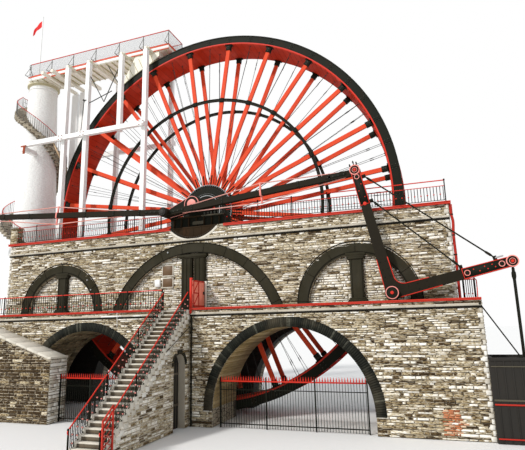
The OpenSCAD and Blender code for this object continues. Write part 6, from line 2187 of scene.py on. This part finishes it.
class WW_OT_gate(bpy.types.Operator):
    """Frame, brace and latch of the terrace gate, its post and the pale strip on the wall"""
    bl_idname = "waterwheel.gate"
    bl_label = "Terrace gate"

    def execute(self, context):
        low, high = box_of("terrace_gate")
        y0, y1 = low[1] + 0.075, high[1]
        z0, z1 = low[2], high[2]
        split = y0 + (y1 - y0) * 0.48
        frame_parts, paler, irons = [], [], []
        for face, side in ((high[0], 1.0), (low[0], -1.0)):
            near, far = sorted((face, face + side * 0.018))

            def slat(ya, yb, za, zb):
                """A flat strip on the gate's face."""
                return boxes([near, ya, za], [far, yb, zb])

            frame_parts += [slat(y0, y1, z1 - 0.07, z1), slat(y0, y1, z0, z0 + 0.09),
                            slat(y0, y0 + 0.07, z0, z1),
                            slat(split - 0.035, split + 0.035, z0, z1),
                            slat(y0, split, (z0 + z1) / 2, (z0 + z1) / 2 + 0.06)]
            middle = (near + far) / 2
            frame_parts.append(bars([middle, y0 + 0.04, z0 + 0.08], [middle, split - 0.03, (z0 + z1) / 2],
                                    0.05, 0.014))
            frame_parts.append(bars([middle, split - 0.03, z1 - 0.06],
                                    [middle, y0 + 0.04, (z0 + z1) / 2 + 0.05], 0.05, 0.014))
            near, far = sorted((face, face + side * 0.010))
            paler.append(slat(split + 0.035, y1, z0 + 0.09, z1 - 0.07))
            near, far = sorted((face, face + side * 0.05))
            irons.append(slat(y1 - 0.16, y1 - 0.03, z0 + 0.66, z0 + 0.80))
        add_piece("gate_frame", frame_parts, "bright_red", "gate_body", bevel=0.004)
        add_piece("gate_sheet", paler, "pale_gate", "gate_body", bevel=0.002)
        add_piece("gate_latch", irons, "black_iron", "gate_body", bevel=0.006)
        p_low, p_high = box_of("gate_post")
        x = (p_low[0] + p_high[0]) / 2
        y = TIER_Y
        cap = [boxes([x - 0.065, y - 0.065, p_high[2] - 0.06], [x + 0.065, y + 0.065, p_high[2] - 0.01]),
               boxes([x - 0.055, y - 0.075, FLOOR_Z - 0.30], [x + 0.055, y - 0.045, p_high[2] - 0.06])]
        add_piece("gate_post_trim", cap, "bright_red", bevel=0.005)
        strip = [boxes([0.73, WALL_Y - 0.045, FLOOR_Z], [0.84, WALL_Y + 0.01, FLOOR_Z + 1.42])]
        add_piece("gate_wall_strip", strip, "pale_coping", bevel=0.006)
        return {"FINISHED"}


class WW_OT_wall_fittings(bpy.types.Operator):
    """Pipes, bare plates, white box, patches, brickwork, end pillar and the stay beside the pit box"""
    bl_idname = "waterwheel.wall_fittings"
    bl_label = "Wall fittings"

    def execute(self, context):
        rng = np.random.default_rng(62)
        y = WALL_Y + 0.10
        course = [[13.10, y, DECK_Z + 0.02], [13.14, y, 9.36], [13.19, y, 8.99], [13.15, y, 8.36],
                  [13.16, y, 7.51],
                  [13.15, y, 6.78], [13.15, y, FLOOR_Z + 0.02]]
        pipe = [tube(smooth_path(course, 46), 0.062, 10)]
        add_piece("end_pipe", pipe, "band_deep", smooth=40)
        bands = []
        for z in (9.36, 8.40, 7.51, 6.40):
            x = 13.19 if 8.9 < z < 9.1 else 13.155
            bands.append(lathes([x, y, z - 0.04], Z_AXIS, [[0.072, 0.0], [0.072, 0.05]], 12))
            bands.append(boxes([WALL_HIGH[0], y - 0.02, z - 0.02], [x - 0.05, y + 0.02, z + 0.02]))
        add_piece("end_pipe_bands", bands, "black_iron", smooth=40)
        face = TIER_Y
        drain = [rods([0.735, face - 0.055, 0.05], [0.735, face - 0.055, 5.10], 0.042, 10)]
        for z in (0.6, 1.9, 3.2, 4.5):
            drain.append(lathes([0.735, face - 0.055, z], Z_AXIS, [[0.056, 0.0], [0.056, 0.07]], 12))
        add_piece("drain_pipe", drain, "black_iron", smooth=40)
        pale = [rods([-3.6, face - 0.045, 4.64], [-3.6, face - 0.095, 5.45], 0.014, 8),
                boxes([-4.61, face - 0.081, 5.20], [-3.32, face - 0.074, 5.262]),
                boxes([-2.60, face - 0.081, 5.20], [-2.10, face - 0.074, 5.245])]
        add_piece("white_pipe_and_patches", pale, "white_iron")
        back = WALL_Y + BLIND_D
        plates, frames = [], []
        for x0, x1, z0, z1 in ((-1.95, -1.31, 7.38, 7.93), (-1.93, -1.30, 6.75, 7.23)):
            plates.append(boxes([x0, back - 0.055, z0], [x1, back + 0.01, z1]))
            for a, b, c, d in ((x0 - 0.03, x1 + 0.03, z1 - 0.01, z1 + 0.03),
                               (x0 - 0.03, x1 + 0.03, z0 - 0.03, z0 + 0.01),
                               (x0 - 0.03, x0 + 0.01, z0, z1), (x1 - 0.01, x1 + 0.03, z0, z1)):
                frames.append(boxes([a, back - 0.068, c], [b, back + 0.01, d]))
        add_piece("bare_plates", plates, "brown_plate", bevel=0.006)
        add_piece("plate_frames", frames, "pale_coping", bevel=0.004)
        box = [boxes([-2.40, back - 0.13, 6.79], [-2.08, back + 0.01, 7.17]),
               boxes([-2.42, back - 0.14, 7.15], [-2.06, back + 0.01, 7.19])]
        add_piece("white_box", box, "white_iron", bevel=0.01)
        store = StoneStore(63)
        rows = []
        for k in range(12):
            v = 0.16 + 0.082 * k
            left = 11.90 + 0.10 * (k % 2) + rng.uniform(0, 0.10)
            edge = np.arange(left, 12.98 - 0.05 * abs(k - 5), 0.215)
            if len(edge) > 1:
                rows.append(rows_at(edge[:-1] + 0.005, edge[1:] - 0.005, v, v + 0.072))
        store.add(np.concatenate(rows), (0, face, 0), FRONT_FACE, 0.040, 0.5, 0.006)
        store.finish("brick_patch", "brick")
        store = StoneStore(64)
        x0, x1, y0, y1 = WALL_LOW[0] - 0.02, WALL_LOW[0] + 0.46, WALL_Y - 0.06, WALL_Y + 0.42
        for k in range(6):
            z = DECK_Z + 0.17 * k
            drift = rng.uniform(-0.02, 0.02, 4)
            store.parts.append(boxes([x0 + drift[0], y0 + drift[1], z + 0.005],
                                     [x1 + drift[2], y1 + drift[3], z + 0.165]))
            store.shades.append(np.full(8, rng.uniform(0.25, 0.8)))
        store.finish("end_pillar", "rubble")
        cap = [boxes([x0 - 0.04, y0 - 0.04, DECK_Z + 1.02], [x1 + 0.04, y1 + 0.04, DECK_Z + 1.09])]
        add_piece("end_pillar_cap", cap, "pale_coping", bevel=0.012)
        stay = [rods([13.80, face - 0.03, 5.26], [15.06, face - 0.03, PIT_BOX_HIGH[2] - 0.01], 0.026, 8),
                lathes([15.06, face - 0.03, PIT_BOX_HIGH[2] - 0.01], Z_AXIS,
                       [[0.07, 0.0], [0.07, 0.03], [0.03, 0.09]], 8),
                nuts([13.80, face - 0.06, 5.26], -Y_AXIS, 0.05, 0.03)]
        add_piece("diagonal_stay", stay, "black_iron", smooth=40)
        x0, x1, y, top = PIT_BOX_LOW[0] + 0.04, PIT_BOX_HIGH[0] - 0.03, PIT_BOX_LOW[1], PIT_BOX_HIGH[2]
        lines = [boxes([x0, y - 0.035, 2.80], [x1, y + 0.01, 2.84]),
                 boxes([x0, y - 0.035, 1.53], [x1, y + 0.01, 1.60])]
        add_piece("pit_box_pale_lines", lines, "dim_plate", slot="stone", bevel=0.006)
        red = [boxes([x0, y - 0.045, 1.38], [x1, y + 0.01, 1.44]),
               boxes([x0, y - 0.045, 0.15], [x1, y + 0.01, 0.20])]
        add_piece("pit_box_red_rails", red, "band_deep", bevel=0.008)
        x = np.arange(x0 + 0.15, x1, 0.30)
        slats = [boxes(rows_at(x, y - 0.022, 0.03), rows_at(x + 0.05, y + 0.01, top - 0.02)),
                 boxes([x0, y - 0.03, top - 0.12], [x1, y + 0.01, top - 0.01])]
        add_piece("pit_box_slats", slats, "dark_pit", bevel=0.006)
        return {"FINISHED"}


class WW_OT_stair_flank(bpy.types.Operator):
    """Stepped pale stones along the stair's flanks, and the dark door leaf in its small arch"""
    bl_idname = "waterwheel.stair_flank"
    bl_label = "Stair flank"

    def execute(self, context):
        rng = np.random.default_rng(65)
        step = np.arange(1, STAIR_N)
        nose = TIER_Y - (STAIR_N - step) * TREAD_RUN
        low_z = step * RISER - 0.27
        keep = low_z > 0.1
        nose, low_z = nose[keep], low_z[keep]
        proud = rng.uniform(0.030, 0.042, len(nose))
        parts = []
        for x, side in ((STAIR_HIGH[0], 1.0), (STAIR_LOW[0], -1.0)):
            a = rows_at(x - side * 0.01, nose + 0.004, low_z)
            b = rows_at(x + side * proud, nose + TREAD_RUN + 0.05, low_z + RISER * 0.97)
            parts.append(boxes(np.minimum(a, b), np.maximum(a, b)))
        shade = tones(rng, len(nose) * 2, 0.72, 0.14, 0.1, 1.0)
        add_piece("flank_steps", parts, "quoin", shade=shade, bevel=0.008)
        mid, leaf_r = SMALL_ARCH_Y, 0.525
        t = np.linspace(0, math.pi, 20)
        arch = np.c_[mid + leaf_r * np.cos(t), SMALL_ARCH_Z + leaf_r * np.sin(t)]
        outline = np.vstack([arch, [[mid - leaf_r, 0.01], [mid + leaf_r, 0.01]]])
        leaf = carried([[STAIR_HIGH[0] - 0.42, 0, 0], [STAIR_HIGH[0] - 0.36, 0, 0]], outline, Y_AXIS,
                       Z_AXIS)
        add_piece("flank_door", [leaf], "dark_pit")
        x = STAIR_HIGH[0] - 0.355
        battens = [boxes([x - 0.005, mid - 0.5 + 0.2 * k, 0.05], [x + 0.012, mid - 0.5 + 0.2 * k + 0.03,
                                                                  2.95]) for k in range(6)]
        battens.append(boxes([x - 0.005, mid - 0.5, 1.0], [x + 0.02, mid + 0.5, 1.1]))
        battens.append(boxes([x - 0.005, mid - 0.5, 2.4], [x + 0.02, mid + 0.5, 2.5]))
        add_piece("flank_door_battens", battens, "dark_stone", slot="black_wood")
        bead = [bars([STAIR_HIGH[0] + 0.035, TIER_Y - 0.02, 4.62], [STAIR_HIGH[0] + 0.035, -4.33, 3.55],
                     0.03, 0.02)]
        add_piece("flank_bead", bead, "slate_line")
        return {"FINISHED"}


class WW_OT_small_irons(bpy.types.Operator):
    """Bolts round the crank pin, grease cups of the bell crank and the thin rod on the white frame"""
    bl_idname = "waterwheel.small_irons"
    bl_label = "Small irons"

    def execute(self, context):
        y = box_of("main_rod")[0][1] - 0.06
        turn = np.arange(8) * math.pi / 4
        spot = rows_at(PIN[0] + 0.155 * np.cos(turn), y, PIN[1] + 0.155 * np.sin(turn))
        heads = [nuts(spot, -Y_AXIS, 0.032, 0.03),
                 hoop(PIN[0], PIN[1], 0.11, 0.20, y - 0.005, y + 0.03, 32)]
        add_piece("crank_pin_bolts", heads, "rod_iron", "wheel", smooth=30)
        cups = []
        for along, off in ((0.02, 0.26), (-0.17, 0.24), (0.16, 0.24)):
            rise = math.sqrt(0.21 ** 2 - along ** 2)
            spot = in_plane(BELL_TOP + UP_WAY * rise + OUT_WAY * along, BELL_Y - 0.02)
            cups.append(lathes(spot, in_plane(UP_WAY, 0), [[0.024, 0.0], [0.024, off * 0.6],
                                                           [0.036, off * 0.68],
                                                         [0.036, off], [0.012, off + 0.03]], 8))
        add_piece("grease_cups", cups, "rod_iron", "bell_crank_body", smooth=40)
        thin = [rods([POST_X[1] - 0.155, POST_Y[0] - 0.16, 19.47], [POST_X[1] - 0.30, POST_Y[0] - 0.16,
                                                                    17.18], 0.02, 6),
                lathes([POST_X[1] - 0.155, POST_Y[0] - 0.22, 19.47], Y_AXIS, [[0.06, 0.0], [0.06, 0.09]],
                       8),
                bars([POST_X[1] - 0.155, POST_Y[0] - 0.15, 19.47], [POST_X[1] + 0.02, POST_Y[0] - 0.15,
                                                                    19.47], 0.05, 0.05)]
        add_piece("frame_thin_rod", thin, "black_iron", smooth=40)
        ring = np.arange(72) * 2 * math.pi / 72
        specks = []
        for radius in (BOSS_R + 0.10, BOSS_R + 0.30):
            if radius < HUB_R - 0.5:
                specks.append(studs(on_wheel(ring, radius, HUB_FRONT), -Y_AXIS, 0.02, 0.02, 5))
        specks.append(studs(on_wheel(ring, HUB_R - 0.06, SPOKE_Y - 0.07), -Y_AXIS, 0.022, 0.02, 5))
        add_piece("hub_rivets", specks, "wire_grey", "wheel")
        return {"FINISHED"}


# Stage
def make_world(strength):
    """Even fill light, shown white to the camera and in glossy and clear surfaces."""
    world = bpy.data.worlds.new("studio_sky")
    bpy.context.scene.world = world
    world.use_nodes = True
    tree = world.node_tree
    tree.nodes.clear()
    path = place(tree, "ShaderNodeLightPath")
    direct = maths(tree, "MAXIMUM", path.outputs["Is Camera Ray"], path.outputs["Is Transmission Ray"])
    seen = maths(tree, "MAXIMUM", direct, path.outputs["Is Glossy Ray"])
    fill = place(tree, "ShaderNodeBackground", {"Color": (0.93, 0.96, 1.0, 1),
                                                "Strength": strength}).outputs[0]
    white = place(tree, "ShaderNodeBackground", {"Color": (1, 1, 1, 1), "Strength": 1.0}).outputs[0]
    mixed = place(tree, "ShaderNodeMixShader", {0: seen, 1: fill, 2: white}).outputs[0]
    place(tree, "ShaderNodeOutputWorld", {"Surface": mixed})


class WW_OT_stage(bpy.types.Operator):
    """Lay the pale floor, set the lamps and the fill light, and stand the camera where the photo was taken"""
    bl_idname = "waterwheel.stage"
    bl_label = "Stage"

    def execute(self, context):
        settings = context.scene.waterwheel_stage
        reach = 260.0
        corner = np.array([[-reach, -reach, -0.02], [reach, -reach, -0.02], [reach, reach, -0.02],
                           [-reach, reach, -0.02]])
        floor = bpy.data.objects.new("floor", write_mesh("floor", [(corner, [np.array([[0, 1, 2, 3]])])]))
        context.scene.collection.objects.link(floor)
        join(*start_finish("floor_grey"), {"Base Color": (0.80, 0.80, 0.79, 1), "Roughness": 0.95})
        floor.data.materials.append(FINISHES["floor_grey"])
        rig.stage(floor)
        make_world(settings.sky)
        lamp = bpy.data.lights.new("key", "SUN")
        lamp.energy, lamp.angle, lamp.color = settings.sun, math.radians(6.0), (1.0, 0.975, 0.94)
        key = bpy.data.objects.new("key", lamp)
        key.rotation_euler = Vector((0.42, 0.74, -0.62)).to_track_quat("-Z", "Y").to_euler()
        context.scene.collection.objects.link(key)
        lens = bpy.data.cameras.new("camera")
        lens.sensor_fit, lens.sensor_width = "HORIZONTAL", 36.0
        lens.lens = 36.0 * 481.7 / 525
        lens.clip_end = 900.0
        camera = bpy.data.objects.new("camera", lens)
        yaw, pitch, roll = (math.radians(a) for a in (19.57, 11.51, -1.44))
        ahead = np.array([-math.sin(yaw) * math.cos(pitch), math.cos(yaw) * math.cos(pitch),
                          math.sin(pitch)])
        right = np.array([math.cos(yaw), math.sin(yaw), 0.0])
        up = np.cross(right, ahead)
        turned_right = right * math.cos(roll) + up * math.sin(roll)
        turned_up = -right * math.sin(roll) + up * math.cos(roll)
        turn = Matrix([[turned_right[i], turned_up[i], -ahead[i]] for i in range(3)])
        camera.matrix_world = Matrix.Translation((12.22, -23.72, 4.70)) @ turn.to_4x4()
        context.scene.collection.objects.link(camera)
        context.scene.camera = camera
        context.scene.view_settings.view_transform = "Standard"
        return {"FINISHED"}


class WW_PT_panel(bpy.types.Panel):
    """Buttons for the pieces, in building order"""
    bl_label = "Water Wheel"
    bl_idname = "WW_PT_panel"
    bl_space_type = "VIEW_3D"
    bl_region_type = "UI"
    bl_category = "Water Wheel"

    def draw(self, context):
        """Shows the settings and a button for each operator."""
        for settings in (context.scene.waterwheel_masonry, context.scene.waterwheel_paint,
                         context.scene.waterwheel_stage):
            column = self.layout.column(align=True)
            for label in settings.__annotations__:
                column.prop(settings, label)
        for operator in OPERATORS:
            self.layout.operator(operator.bl_idname)


SETTINGS = {"waterwheel_masonry": MasonrySettings, "waterwheel_paint": PaintSettings,
            "waterwheel_stage": StageSettings}
OPERATORS = [value for name, value in list(globals().items()) if name.startswith("WW_OT_")]


def register():
    """Registers the settings, the operators and the panel."""
    for name, group in SETTINGS.items():
        bpy.utils.register_class(group)
        setattr(bpy.types.Scene, name, bpy.props.PointerProperty(type=group))
    for operator in OPERATORS:
        bpy.utils.register_class(operator)
    bpy.utils.register_class(WW_PT_panel)


def unregister():
    """Takes them out again."""
    bpy.utils.unregister_class(WW_PT_panel)
    for operator in reversed(OPERATORS):
        bpy.utils.unregister_class(operator)
    for name, group in SETTINGS.items():
        delattr(bpy.types.Scene, name)
        bpy.utils.unregister_class(group)


def main():
    register()
    for operator in OPERATORS:
        prefix, label = operator.bl_idname.split(".")
        getattr(getattr(bpy.ops, prefix), label)()
    sizes = {"cad": [list(corner) for corner in CAD_BOUNDS],
             "visual": [list(corner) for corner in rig.bounds()]}
    with open("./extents.json", "w") as out:
        json.dump(sizes, out)


if __name__ == "__main__":
    main()
